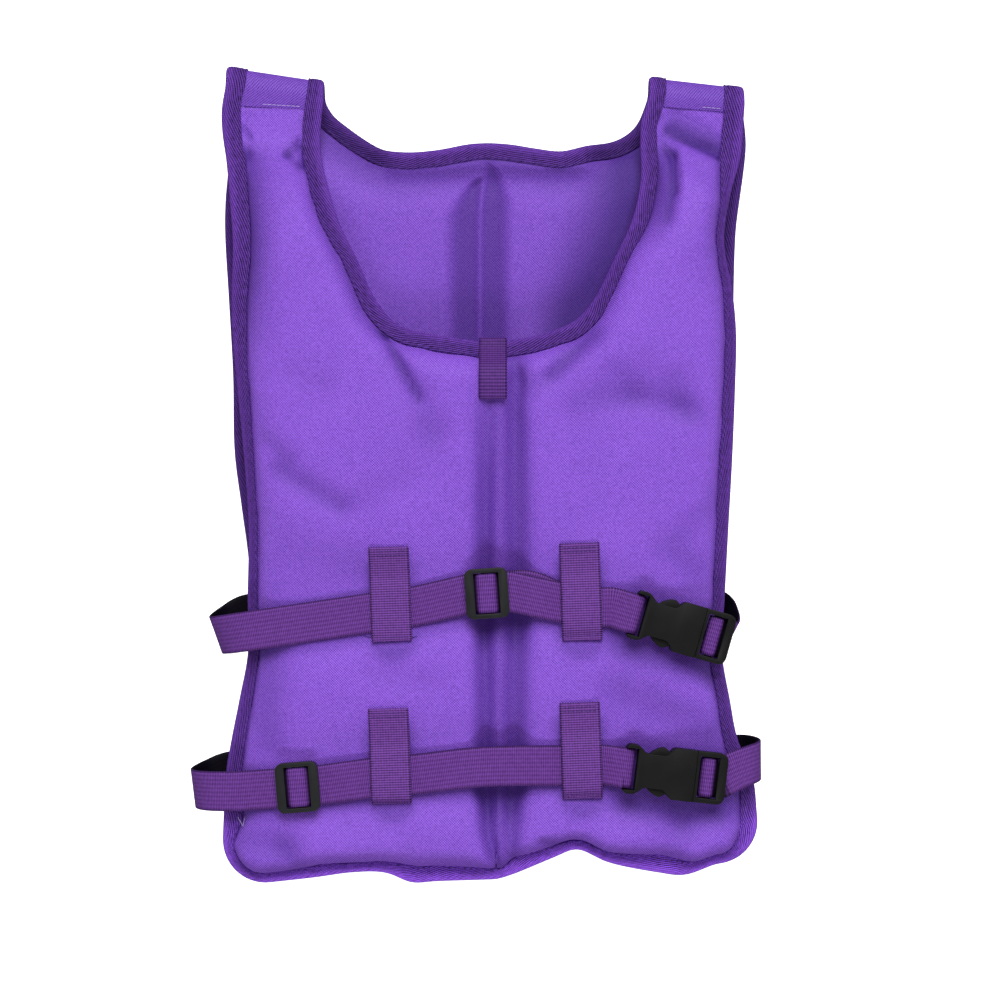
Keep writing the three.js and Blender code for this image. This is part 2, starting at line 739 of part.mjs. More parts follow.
// One closed loop of rim stations: front left, over the shoulder, back left, back right, front right.
function rimLoop(lineOf) {
  const front = frontHalves.map((half) => lineOf(half).map((station) => rimStation(station, frontFaces)));
  const back = backHalves.map((half) => lineOf(half).map((station) => rimStation(station, backFaces)));
  const folds = SIDES.map((side, k) => foldStations(front[k].at(-1), back[k].at(-1)));
  return [
    ...front[0].slice(0, -1),
    ...folds[0],
    ...[...back[0]].reverse(),
    ...back[1].slice(1),
    ...[...folds[1]].reverse(),
    ...front[1].slice(1, -1).reverse(),
  ];
}

// Tape folded round a rim: a channel that opens towards the cloth.
function binding(loop) {
  const { wall: thick, cavity, overlap, clearance } = TAPE;
  const profile = [
    { outer: [overlap, cavity + thick], inner: [overlap, cavity] },
    { outer: [-clearance - thick, cavity + thick], inner: [-clearance, cavity] },
    { outer: [-clearance - thick, -cavity - thick], inner: [-clearance, -cavity] },
    { outer: [overlap, -cavity - thick], inner: [overlap, -cavity] },
  ];
  const wall = new Wall();
  const rows = loop.map(({ edge, inset }, k) => {
    const before = loop.at(k - 1).edge;
    const after = loop[(k + 1) % loop.length].edge;
    const inward = inset.clone().sub(edge).normalize();
    const normal = after.clone().sub(before).cross(inward).normalize();
    const place = ([n, u]) => edge.clone().addScaledVector(inward, n).addScaledVector(normal, u);
    return profile.map(({ outer, inner }) => wall.vertex(place(outer), place(inner)));
  });
  wall.patch([...rows, rows[0]]);
  return wall.geometry();
}

function edgeBinding() {
  return binding(rimLoop(outerRim));
}

function neckBinding() {
  return binding(rimLoop(({ neckRim }) => neckRim));
}

// Outer face of the front panel, and the level of its foam crown where a belt bridges the dips.
function frontTop(x, y) {
  return frontFaces(x, y, swell(x, y, frontEdges, FRONT_FADE)).outer;
}

function crown(x) {
  return FRONT_MID + FRONT_FOAM / 2 + arch(x);
}

// A frame on the foam crown: u along the belt, v across it, z out of the chest.
function padFrame({ x, y, angle }) {
  const slope = archSlope(x);
  const normal = point(-slope, 0, 1).normalize();
  const along = point(Math.cos(angle), Math.sin(angle), slope * Math.cos(angle)).normalize();
  const across = normal.clone().cross(along);
  return new THREE.Matrix4().makeBasis(along, across, normal).setPosition(x, y, crown(x));
}

// A band of webbing through stations, each with its centre and its direction across the band.
function band(stations, width, thick) {
  const wall = new Wall();
  const rows = stations.map(({ centre, across }, k) => {
    const before = stations[Math.max(0, k - 1)].centre;
    const after = stations[Math.min(stations.length - 1, k + 1)].centre;
    const incoming = (k > 0 ? centre.clone().sub(before) : after.clone().sub(centre)).normalize();
    const outgoing = (k < stations.length - 1 ? after.clone().sub(centre) : incoming.clone()).normalize();
    const tangent = incoming.clone().add(outgoing).normalize();
    const normal = tangent.clone().cross(across).normalize();
    const miter = Math.max(LEAST_MITER, tangent.dot(incoming));
    return [-0.5, 0.5].map((share) => {
      const side = centre.clone().addScaledVector(across, share * width);
      const outer = side.clone().addScaledVector(normal, thick / 2 / miter);
      const inner = side.clone().addScaledVector(normal, -thick / 2 / miter);
      return wall.vertex(outer, inner);
    });
  });
  wall.patch(rows);
  return wall.geometry();
}

// Stations of a belt inside its hardware, from (u, z) places in the hardware's frame.
function hardwareStations(places, seat) {
  const frame = padFrame(seat);
  const across = point(0, 1, 0).transformDirection(frame);
  return places.map(({ u, z }) => ({ centre: point(u, 0, z).applyMatrix4(frame), across }));
}

// Stations of a belt on the foam, at a lift above it.
function runStations(places, lift, angle) {
  const across = point(-Math.sin(angle), Math.cos(angle));
  return places.map(({ x, y }) => ({ centre: point(x, y, crown(x) + lift), across }));
}

// Stations of a belt round one side of the vest, from the front down to the back.
function turnStations({ reach, reachY, backX, backY, lean }, front, back) {
  const top = front.centre.z;
  const middle = (top + BELT_BACK_Z) / 2;
  const stations = [];
  for (let k = 1; k < 2 * TURN.steps; k++) {
    const angle = (Math.PI / 2) * (1 - k / TURN.steps);
    const below = angle < 0;
    const startX = below ? backX : front.centre.x;
    const x = startX + (reach - startX) * Math.cos(angle) ** TURN.power;
    const height = Math.abs(Math.sin(angle)) ** TURN.power * (top - middle);
    const share = Math.cos(angle);
    const y = mix(below ? backY : front.centre.y, reachY, share);
    const across = front.across.clone().lerp(back.across, k / (2 * TURN.steps));
    across.add(point(lean * share, 0)).normalize();
    stations.push({ centre: point(x, y, middle + (below ? -height : height)), across });
  }
  return stations;
}

function backStations({ leftTurn, rightTurn }) {
  const start = point(leftTurn.backX, leftTurn.backY, BELT_BACK_Z);
  const end = point(rightTurn.backX, rightTurn.backY, BELT_BACK_Z);
  const along = end.clone().sub(start).normalize();
  const across = UP.clone().cross(along);
  return [{ centre: start, across }, { centre: end, across }];
}

// One belt: from its end under the slider to the socket, back through the slider, round the body to the plug.
function beltGeometry(belt) {
  const { slider, buckle, leftRun, rightRun, leftTurn, rightTurn, tail } = belt;
  const rightEnd = rightRun.at(-1);
  const rightAngle = Math.atan2(rightEnd.y - slider.y, rightEnd.x - slider.x);
  const leftEnd = { x: leftTurn.frontX, y: leftTurn.frontY };
  const leftAngle = Math.atan2(slider.y - leftEnd.y, slider.x - leftEnd.x);
  const leftFront = runStations([leftEnd], LAYER.under, leftAngle);
  const plug = hardwareStations(THROUGH_PLUG, buckle);
  const back = backStations(belt);
  const stations = [
    ...hardwareStations(UNDER_SLIDER, slider),
    ...runStations(rightRun, LAYER.under, rightAngle),
    ...hardwareStations(ROUND_SOCKET_BAR, buckle),
    ...runStations([...rightRun].reverse(), LAYER.over, rightAngle),
    ...hardwareStations(THROUGH_SLIDER, slider),
    ...runStations(leftRun, LAYER.under, leftAngle),
    ...leftFront,
    ...turnStations(leftTurn, leftFront[0], back[0]),
    ...back,
    ...turnStations(rightTurn, plug[0], back[1]).reverse(),
    ...plug,
    ...hardwareStations(tail, buckle),
  ];
  return band(stations, WEBBING.width, WEBBING.thick);
}

// A sewn belt loop: flat on the foam at its ends, raised over the belt between them.
function beltLoop({ belt, x, bottom, top, over }) {
  const { slider, buckle, rightRun, leftRun } = BELTS[belt];
  const route = [...leftRun, ...rightRun, slider, buckle].sort((a, b) => a.x - b.x);
  const next = Math.max(1, route.findIndex((row) => row.x > x));
  const [a, b] = [route[next - 1], route[next]];
  const middle = mix(a.y, b.y, (x - a.x) / (b.x - a.x));
  const clear = WEBBING.width / 2 + LOOP.rise;
  const places = [
    { y: bottom, lift: LOOP.sewn },
    { y: middle - clear - 2 * LOOP.rise, lift: LOOP.sewn },
    { y: middle - clear, lift: over },
    { y: middle + clear, lift: over },
    { y: middle + clear + 2 * LOOP.rise, lift: LOOP.sewn },
    { y: top, lift: LOOP.sewn },
  ];
  const across = point(1, -LOOP.lean, archSlope(x)).normalize();
  const stations = places.map(({ y, lift }) => {
    const lean = x + LOOP.lean * (y - middle);
    return { centre: point(lean, y, crown(lean) + lift), across };
  });
  return band(stations, LOOP.width, LOOP.thick);
}

// The neck tab: up the front, over the neck tape and down inside.
function neckTab() {
  const rim = rimStation(frontHalves[0].neckRim[0], frontFaces).edge;
  const reach = TAPE.cavity + TAPE.wall + TAB.clearance + TAB.thick / 2;
  const lip = rim.y + TAPE.clearance + TAPE.wall + TAB.lip + TAB.thick / 2;
  const wall = new Wall();
  const columns = [-2, -1, 0, 1, 2].map((quarter) => TAB.x + (quarter * TAB.width) / 4);
  const onFoam = TAB_ROWS.map((y) => columns.map((x) => {
    const z = Math.max(frontTop(x, y) + TAB.clearance + TAB.thick / 2, rim.z + reach);
    return { centre: point(x, y, z), normal: UP };
  }));
  const overTape = [
    { y: TAB.inside + 2 * TAB.bend, z: reach, ny: 0, nz: 1 },
    { y: lip - TAB.bend, z: reach, ny: 0.4, nz: 1 },
    { y: lip, z: reach - TAB.bend, ny: 1, nz: 0.4 },
    { y: lip, z: TAB.bend - reach, ny: 1, nz: -0.4 },
    { y: lip - TAB.bend, z: -reach, ny: 0.4, nz: -1 },
    { y: TAB.inside, z: -reach, ny: 0, nz: -1 },
  ].map(({ y, z, ny, nz }) => columns.map((x) => {
    return { centre: point(x, y, rim.z + z), normal: point(0, ny, nz).normalize() };
  }));
  wall.patch([...onFoam, ...overTape].map((row) => row.map(({ centre, normal }) => wall.vertex(
    centre.clone().addScaledVector(normal, TAB.thick / 2),
    centre.clone().addScaledVector(normal, -TAB.thick / 2),
  ))));
  return wall.geometry();
}

function slider() {
  const { u, v, corner, bottom, top, opening, slot, bar, lift } = SLIDER;
  const [near, far] = slot;
  const across = [-opening, opening];
  return cut(roundedPlate([-u, u], v, corner, bottom, top), [
    block([near, far], across, [0, 2 * top]),
    block([-far, -near], across, [0, 2 * top]),
    block([far - 1, 2 * u], across, [0, lift]),
    block([-2 * u, 1 - far], across, [0, lift]),
    block([-near - 1, near + 1], across, [bar, 2 * top]),
  ]);
}

function buckleSocket() {
  const { outline, bottom, top, opening, bar, slot, cavity } = SOCKET;
  const across = [-opening, opening];
  const barEnd = [outline[0].u - 1, slot[0] + 1];
  return cut(mirroredPlate(outline, bottom, top), [
    block(slot, across, [0, 2 * top]),
    block(barEnd, across, [0, bar[0]]),
    block(barEnd, across, [bar[1], 2 * top]),
    block([cavity.from, 2 * top], [-cavity.half, cavity.half], [cavity.bottom, cavity.top]),
  ]);
}

function bucklePlug() {
  const { from, to, half, corner, bottom, top, opening, slots, bar, barTop, endBar } = PLUG;
  const across = [-opening, opening];
  const [inner, outer] = [bar[0] - 1, bar[1] + 1];
  const base = cut(roundedPlate([from, to], half, corner, bottom, top), [
    ...slots.map((slot) => block(slot, across, [0, 2 * top])),
    block([inner, outer], across, [barTop, 2 * top]),
    block([slots[1][1] - 1, to + 1], across, [0, endBar[0]]),
    block([slots[1][1] - 1, to + 1], across, [endBar[1], 2 * top]),
  ]);
  return join(base, mirroredPlate(PLUG.arm, PLUG.armBottom, PLUG.armTop));
}

function piece(name, geometry, finish) {
  const mesh = new THREE.Mesh(geometry, new THREE.MeshStandardMaterial({ metalness: 0, ...FINISH[finish] }));
  mesh.name = name;
  return mesh;
}

function seated(mesh, seat) {
  mesh.applyMatrix4(padFrame(seat));
  return mesh;
}

const vest = new THREE.Group();
vest.add(
  piece('front_panel', frontPanel(), 'cloth'),
  piece('back_panel', backPanel(), 'cloth'),
  piece('neck_binding', neckBinding(), 'tape'),
  piece('edge_binding', edgeBinding(), 'tape'),
  piece('neck_tab', neckTab(), 'webbing'),
);
for (const row of BELT_LOOPS) {
  vest.add(piece(row.name, beltLoop(row), 'webbing'));
}
for (const [name, belt] of Object.entries(BELTS)) {
  vest.add(
    piece(`${name}_strap`, beltGeometry(belt), 'webbing'),
    seated(piece(`${name}_slider`, slider(), 'plastic'), belt.slider),
    seated(piece(`${name}_buckle_socket`, buckleSocket(), 'plastic'), belt.buckle),
    seated(piece(`${name}_buckle_plug`, bucklePlug(), 'plastic'), belt.buckle),
  );
}

// The origin is the middle of the vest's footprint, on the ground.
const footprint = new THREE.Box3().setFromObject(vest).getCenter(new THREE.Vector3());
vest.position.set(-footprint.x, -footprint.y, 0);

const part = new THREE.Group();
part.add(vest);
export default part;
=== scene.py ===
"""Dresses the buoyancy vest: padded cloth panels, twill tape, webbing belts and moulded hardware."""

import logging
import math
from dataclasses import dataclass, field
from enum import Enum
from typing import NamedTuple, Sequence

import bmesh
import bpy
import numpy as np
from mathutils import Matrix, Vector


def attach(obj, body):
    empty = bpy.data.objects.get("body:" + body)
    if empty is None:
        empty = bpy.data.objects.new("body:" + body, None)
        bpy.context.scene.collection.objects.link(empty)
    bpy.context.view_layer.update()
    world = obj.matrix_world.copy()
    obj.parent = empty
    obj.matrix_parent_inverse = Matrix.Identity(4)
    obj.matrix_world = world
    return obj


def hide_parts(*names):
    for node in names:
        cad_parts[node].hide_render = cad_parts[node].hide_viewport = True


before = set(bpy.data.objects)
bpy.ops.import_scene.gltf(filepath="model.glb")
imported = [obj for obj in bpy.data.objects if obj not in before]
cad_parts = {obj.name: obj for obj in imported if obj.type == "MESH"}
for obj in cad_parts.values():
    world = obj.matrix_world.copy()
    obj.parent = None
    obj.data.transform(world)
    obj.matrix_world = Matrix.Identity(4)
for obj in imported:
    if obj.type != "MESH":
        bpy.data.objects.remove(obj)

LOG = logging.getLogger("vest")
Array = np.ndarray
Plan = tuple[float, float]
Place = tuple[float, float, float]

# Tables are in millimetres on the photograph's plan; the shift takes them to the part's own origin.
MM = 0.001
PLAN_SHIFT = Vector((-1.17173, -1.42287, 0.0))
UP = np.array((0.0, 0.0, 1.0))

# Names of the point attribute that holds the painted shade, and of the pattern coordinates
PAINTED_SHADING = "painted_shading"
WEAVE = "weave"


class Side(Enum):
    """The two halves of the vest, as the viewer sees its front."""

    LEFT = -1
    RIGHT = 1


class Slot(Enum):
    """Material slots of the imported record."""

    CLOTH = "cloth"
    TAPE = "tape"
    WEBBING = "webbing"
    HARDWARE = "hardware"


class Crease(NamedTuple):
    """A fold pressed into cloth along a short line: its ends, depth and half width."""

    x0: float
    y0: float
    x1: float
    y1: float
    deep: float
    wide: float


class Corner(NamedTuple):
    """A rounded lower corner of a panel."""

    x: float
    y: float
    radius: float


class Shoulder(NamedTuple):
    """Fold and seam lines of one shoulder strap, at its outer and inner edge."""

    outer_x: float
    outer_fold: float
    outer_seam: float
    inner_x: float
    inner_fold: float
    inner_seam: float

    def line(self, x: Array, fold: bool) -> Array:
        """Height in plan of the fold, or else of the seam, at places across the strap."""
        start, end = (self.outer_fold, self.inner_fold) if fold else (self.outer_seam, self.inner_seam)
        return start + (end - start) * (x - self.outer_x) / (self.inner_x - self.outer_x)


SHOULDERS: dict[Side, Shoulder] = {
    Side.LEFT: Shoulder(-158.2, 249.0, 236.0, -97.8, 239.9, 232.4),
    Side.RIGHT: Shoulder(170.8, 235.7, 230.6, 112.0, 242.4, 235.6),
}

# Shared sizes of cloth, fold and belts
CLOTH = 1.5
RIM = 3.0
RIM_WIDTH = 12.5
BACK_RIM_Z = 6.0
FOLD_RADIUS = 8.0
FOLD_REACH = 11.5
FLAP_Z = BACK_RIM_Z + 2 * FOLD_RADIUS
LAP_GAP = 0.35
FRONT_STRAP_Z = FLAP_Z - CLOTH - LAP_GAP
LAP_TAPE_Z = (FLAP_Z + FRONT_STRAP_Z) / 2
STRAP_TAPER = (190.0, 222.0)
CROWN_Z = 51.0
ARCH_RISE = 6.0
ARCH_CENTRE = 10.0
ARCH_HALF = 150.0
WEBBING_WIDTH = 25.0
FOAM_FILL = 0.7


def mix(start: Array, end: Array, share: Array) -> Array:
    """Value that lies a share of the way from start to end."""
    return start + (end - start) * share


def smoothstep(value: Array, low: float, high: float) -> Array:
    """Smooth rise from 0 at low to 1 at high."""
    share = np.clip((value - low) / (high - low), 0.0, 1.0)
    return share * share * (3.0 - 2.0 * share)


def fall(value: Array, low: float, high: float) -> Array:
    """Smooth fall from 1 at low to 0 at high."""
    return 1.0 - smoothstep(value, low, high)


def bell(offset: Array, width: float) -> Array:
    """Bell curve, 1 where there is no offset and small beyond the width."""
    return np.exp(-((offset / width) ** 2))


# Large odd factors that scatter the lattice's values
LATTICE_STEPS = (127.1, 311.7, 74.7)
LATTICE_SPREAD = 43758.5453


def lattice(i: Array, j: Array, seed: float) -> Array:
    """Repeatable values from -1 to 1 at whole-number places."""
    mixed = np.sin(i * LATTICE_STEPS[0] + j * LATTICE_STEPS[1] + seed * LATTICE_STEPS[2]) * LATTICE_SPREAD
    return 2.0 * (mixed - np.floor(mixed)) - 1.0


def unevenness(x: Array, y: Array, seed: float) -> Array:
    """Smooth irregular relief with a step of one unit.

    Args:
        x: First coordinate, in units of the relief's step.
        y: Second coordinate, in the same units.
        seed: Number that picks one relief among many.

    Returns:
        Values from about -1 to 1.
    """
    i, j = np.floor(x), np.floor(y)
    u, v = smoothstep(x - i, 0.0, 1.0), smoothstep(y - j, 0.0, 1.0)
    low = mix(lattice(i, j, seed), lattice(i + 1, j, seed), u)
    high = mix(lattice(i, j + 1, seed), lattice(i + 1, j + 1, seed), u)
    return mix(low, high, v)


class Ripple(NamedTuple):
    """An irregular relief: its steps along two coordinates, the seed that picks it and its height."""

    step: float
    across: float
    seed: float
    height: float


def rippled(ripples: Sequence[Ripple], x: Array, y: Array) -> Array:
    """Summed relief of ripples at places."""
    return sum(row.height * unevenness(x / row.step, y / row.across, row.seed) for row in ripples)


def spline(points: Sequence[Sequence[float]], steps: int = 20) -> Array:
    """Centripetal spline through points.

    Args:
        points: Places of any dimension that the line passes through.
        steps: Samples for each stretch between two of them.

    Returns:
        Samples in order, the last point included.
    """
    line = np.asarray(points, dtype=float)
    line = np.vstack([2 * line[0] - line[1], line, 2 * line[-1] - line[-2]])
    share = np.linspace(0.0, 1.0, steps, endpoint=False)[:, None]
    samples = []
    for before, start, end, after in zip(line, line[1:], line[2:], line[3:]):
        gaps = [max(math.sqrt(np.linalg.norm(b - a)), 1e-3)
                for a, b in ((before, start), (start, end), (end, after))]
        leave = (start - before) / gaps[0] - (end - before) / (gaps[0] + gaps[1]) + (end - start) / gaps[1]
        arrive = (end - start) / gaps[1] - (after - start) / (gaps[1] + gaps[2]) + (after - end) / gaps[2]
        leave, arrive = leave * gaps[1], arrive * gaps[1]
        cubic = 2 * start - 2 * end + leave + arrive
        square = -3 * start + 3 * end - 2 * leave - arrive
        samples.append(cubic * share**3 + square * share**2 + leave * share + start)
    return np.vstack([*samples, line[-2:-1]])


def lengths_along(line: Array) -> Array:
    """Length from the line's start to each of its points."""
    return np.concatenate([[0.0], np.cumsum(np.linalg.norm(np.diff(line, axis=0), axis=1))])


def resample(line: Array, shares: Array) -> Array:
    """Places on a line at shares of its length."""
    lengths = lengths_along(line)
    return np.stack([np.interp(shares * lengths[-1], lengths, column) for column in line.T], axis=1)


def directions(line: Array) -> Array:
    """Unit tangents at the points of a line."""
    tangents = np.gradient(line, axis=0)
    return tangents / np.linalg.norm(tangents, axis=1, keepdims=True)


def to_line(x: Array, y: Array, line: Array) -> tuple[Array, Array]:
    """Distance from places to a plan line, and how far along it they stand.

    Args:
        x: Plan coordinates, flat.
        y: Plan coordinates, flat.
        line: Points of the line, two columns.

    Returns:
        Distances, and lengths along the line of the nearest places.
    """
    lengths = lengths_along(line)
    nearest = np.full(x.shape, np.inf)
    along = np.zeros(x.shape)
    for k, (start, end) in enumerate(zip(line, line[1:])):
        run = end - start
        size = max(float(run @ run), 1e-12)
        share = np.clip(((x - start[0]) * run[0] + (y - start[1]) * run[1]) / size, 0.0, 1.0)
        distance = np.hypot(x - start[0] - share * run[0], y - start[1] - share * run[1])
        closer = distance < nearest
        nearest = np.where(closer, distance, nearest)
        along = np.where(closer, lengths[k] + share * math.sqrt(size), along)
    return nearest, along


def off_lines(lines: Sequence[Sequence[Plan]], x: Array, y: Array) -> Array:
    """Distance from plan places to the nearest of some lines."""
    return np.min([to_line(x, y, np.array(line, float))[0] for line in lines], axis=0)


class Halo(NamedTuple):
    """Painted shade by strips on the cloth: its share, its shift down, half the strips' width and its reach.
    """

    share: float
    drop: float
    half: float
    reach: float


def shade_by(lines: Sequence[Sequence[Plan]], x: Array, y: Array, halo: Halo) -> Array:
    """Painted shade by strips that lie on the cloth: the halo's share on a strip, falling to nothing beside
    it.
    """
    off = off_lines(lines, x, y + halo.drop) - halo.half
    return halo.share * bell(np.maximum(off, 0.0), halo.reach)


def crease_depth(creases: Sequence[Crease], x: Array, y: Array) -> Array:
    """Summed depth of creases at plan places.

    Args:
        creases: The creases.
        x: Plan places.
        y: Plan places.

    Returns:
        Depths, negative where a crease is a raised fold.
    """
    depth = np.zeros(np.shape(x))
    for row in creases:
        depth += row.deep * bell(off_lines([((row.x0, row.y0), (row.x1, row.y1))], x, y), row.wide)
    return depth


def arch(x: Array) -> Array:
    """Rise of the chest's arch."""
    return ARCH_RISE * np.maximum(0.0, 1.0 - ((x - ARCH_CENTRE) / ARCH_HALF) ** 2)


def arch_slope(x: float) -> float:
    """Slope of the chest's arch."""
    return -2.0 * ARCH_RISE * (x - ARCH_CENTRE) / ARCH_HALF**2


def pad_frame(x: float, y: float, angle: float) -> Matrix:
    """Frame on the foam's crown: u along a belt, v across it, z out of the chest.

    Args:
        x: Plan place.
        y: Plan place.
        angle: Direction of the belt.

    Returns:
        Matrix in millimetres, before the plan shift.
    """
    slope = arch_slope(x)
    normal = Vector((-slope, 0.0, 1.0)).normalized()
    along = Vector((math.cos(angle), math.sin(angle), slope * math.cos(angle))).normalized()
    across = normal.cross(along)
    matrix = Matrix((along, across, normal)).transposed().to_4x4()
    matrix.translation = (x, y, CROWN_Z + float(arch(x)))
    return matrix


def placed(points: Array) -> Array:
    """Table places in millimetres as places of the part in metres."""
    return (np.asarray(points) + np.array(PLAN_SHIFT)) * MM


class Mesher:
    """Makes finished mesh objects from arrays."""

    @staticmethod
    def from_faces(name: str, points: Array, faces: list, uv: Array,
                   finish: bpy.types.Material) -> bpy.types.Object:
        """Makes a smooth object with one finish.

        Args:
            name: Name of the piece.
            points: Places in millimetres on the plan.
            faces: Corner numbers of each face.
            uv: Pattern coordinates in metres, one pair for each point or for each face corner.
            finish: Material of the whole piece.

        Returns:
            The new object, linked to the scene.
        """
        mesh = bpy.data.meshes.new(name)
        mesh.from_pydata(placed(points).tolist(), [], faces)
        layer = mesh.uv_layers.new(name=WEAVE)
        if len(uv) != len(mesh.loops):
            corners = np.zeros(len(mesh.loops), dtype=np.int32)
            mesh.loops.foreach_get("vertex_index", corners)
            uv = uv[corners]
        layer.data.foreach_set("uv", np.asarray(uv, dtype=np.float32).ravel())
        mesh.materials.append(finish)
        mesh.shade_smooth()
        mesh.update()
        obj = bpy.data.objects.new(name, mesh)
        bpy.context.scene.collection.objects.link(obj)
        return obj

    @staticmethod
    def mark_painted_shading(obj: bpy.types.Object, values: Array) -> None:
        """Gives each point its share of painted shade, from 0 to 1."""
        layer = obj.data.attributes.new(PAINTED_SHADING, "FLOAT", "POINT")
        layer.data.foreach_set("value", np.asarray(values, dtype=np.float32).ravel())

    @staticmethod
    def face_out(obj: bpy.types.Object) -> None:
        """Turns a closed mesh so that its faces point out.

        Args:
            obj: The piece.
        """
        work = bmesh.new()
        work.from_mesh(obj.data)
        if work.calc_volume(signed=True) < 0:
            bmesh.ops.reverse_faces(work, faces=work.faces[:])
            work.to_mesh(obj.data)
        work.free()


class Wall:
    """A closed wall of cloth, from grids of points on its two faces."""

    def __init__(self) -> None:
        """Starts with no grids."""
        self.outer: list[Array] = []
        self.inner: list[Array] = []
        self.uv: list[Array] = []
        self.painted_shading: list[Array] = []
        self.quads: list[Array] = []
        self.count = 0

    def add(self, outer: Array, inner: Array, uv: Array, flip: bool, painted_shading: Array) -> None:
        """Adds one grid.

        Args:
            outer: Rows and columns of points on the outer face.
            inner: The same on the inner face.
            uv: Pattern coordinates in millimetres for the grid.
            flip: Whether the grid runs the other way round.
            painted_shading: Share of painted shade on the visible face, from 0 to 1.
        """
        rows, columns = outer.shape[:2]
        self.painted_shading.append(painted_shading.ravel())
        index = self.count + np.arange(rows * columns).reshape(rows, columns)
        index = index[:, ::-1] if flip else index
        corners = [index[:-1, :-1], index[:-1, 1:], index[1:, 1:], index[1:, :-1]]
        self.quads.append(np.stack([c.ravel() for c in corners], axis=1))
        self.outer.append(outer.reshape(-1, 3))
        self.inner.append(inner.reshape(-1, 3))
        self.uv.append(uv.reshape(-1, 2))
        self.count += rows * columns

    def build(self, name: str, finish: bpy.types.Material) -> bpy.types.Object:
        """Welds the grids and closes the wall round its free edges.

        Args:
            name: Name of the piece.
            finish: Material of the piece.

        Returns:
            The closed object.
        """
        outer, inner, uv = (np.vstack(part) for part in (self.outer, self.inner, self.uv))
        painted_shading = np.concatenate(self.painted_shading)
        key = np.round(np.hstack([outer, inner]), 3)
        first, back = np.unique(key, axis=0, return_index=True, return_inverse=True)[1:]
        quads = back.reshape(-1)[np.vstack(self.quads)]
        outer, inner, uv, painted_shading = outer[first], inner[first], uv[first], painted_shading[first]
        count = len(outer)
        faces = [list(dict.fromkeys(quad)) for quad in quads.tolist()]
        faces = [face for face in faces if len(face) > 2]
        edges = {(a, b) for face in faces for a, b in zip(face, face[1:] + face[:1])}
        under = [[corner + count for corner in reversed(face)] for face in faces]
        closing = [[b, a, a + count, b + count] for a, b in sorted(edges) if (b, a) not in edges]
        obj = Mesher.from_faces(
            name, np.vstack([outer, inner]), faces + under + closing, np.vstack([uv, uv]) * MM, finish)
        Mesher.mark_painted_shading(obj, np.concatenate([painted_shading, painted_shading]))
        Mesher.face_out(obj)
        return obj


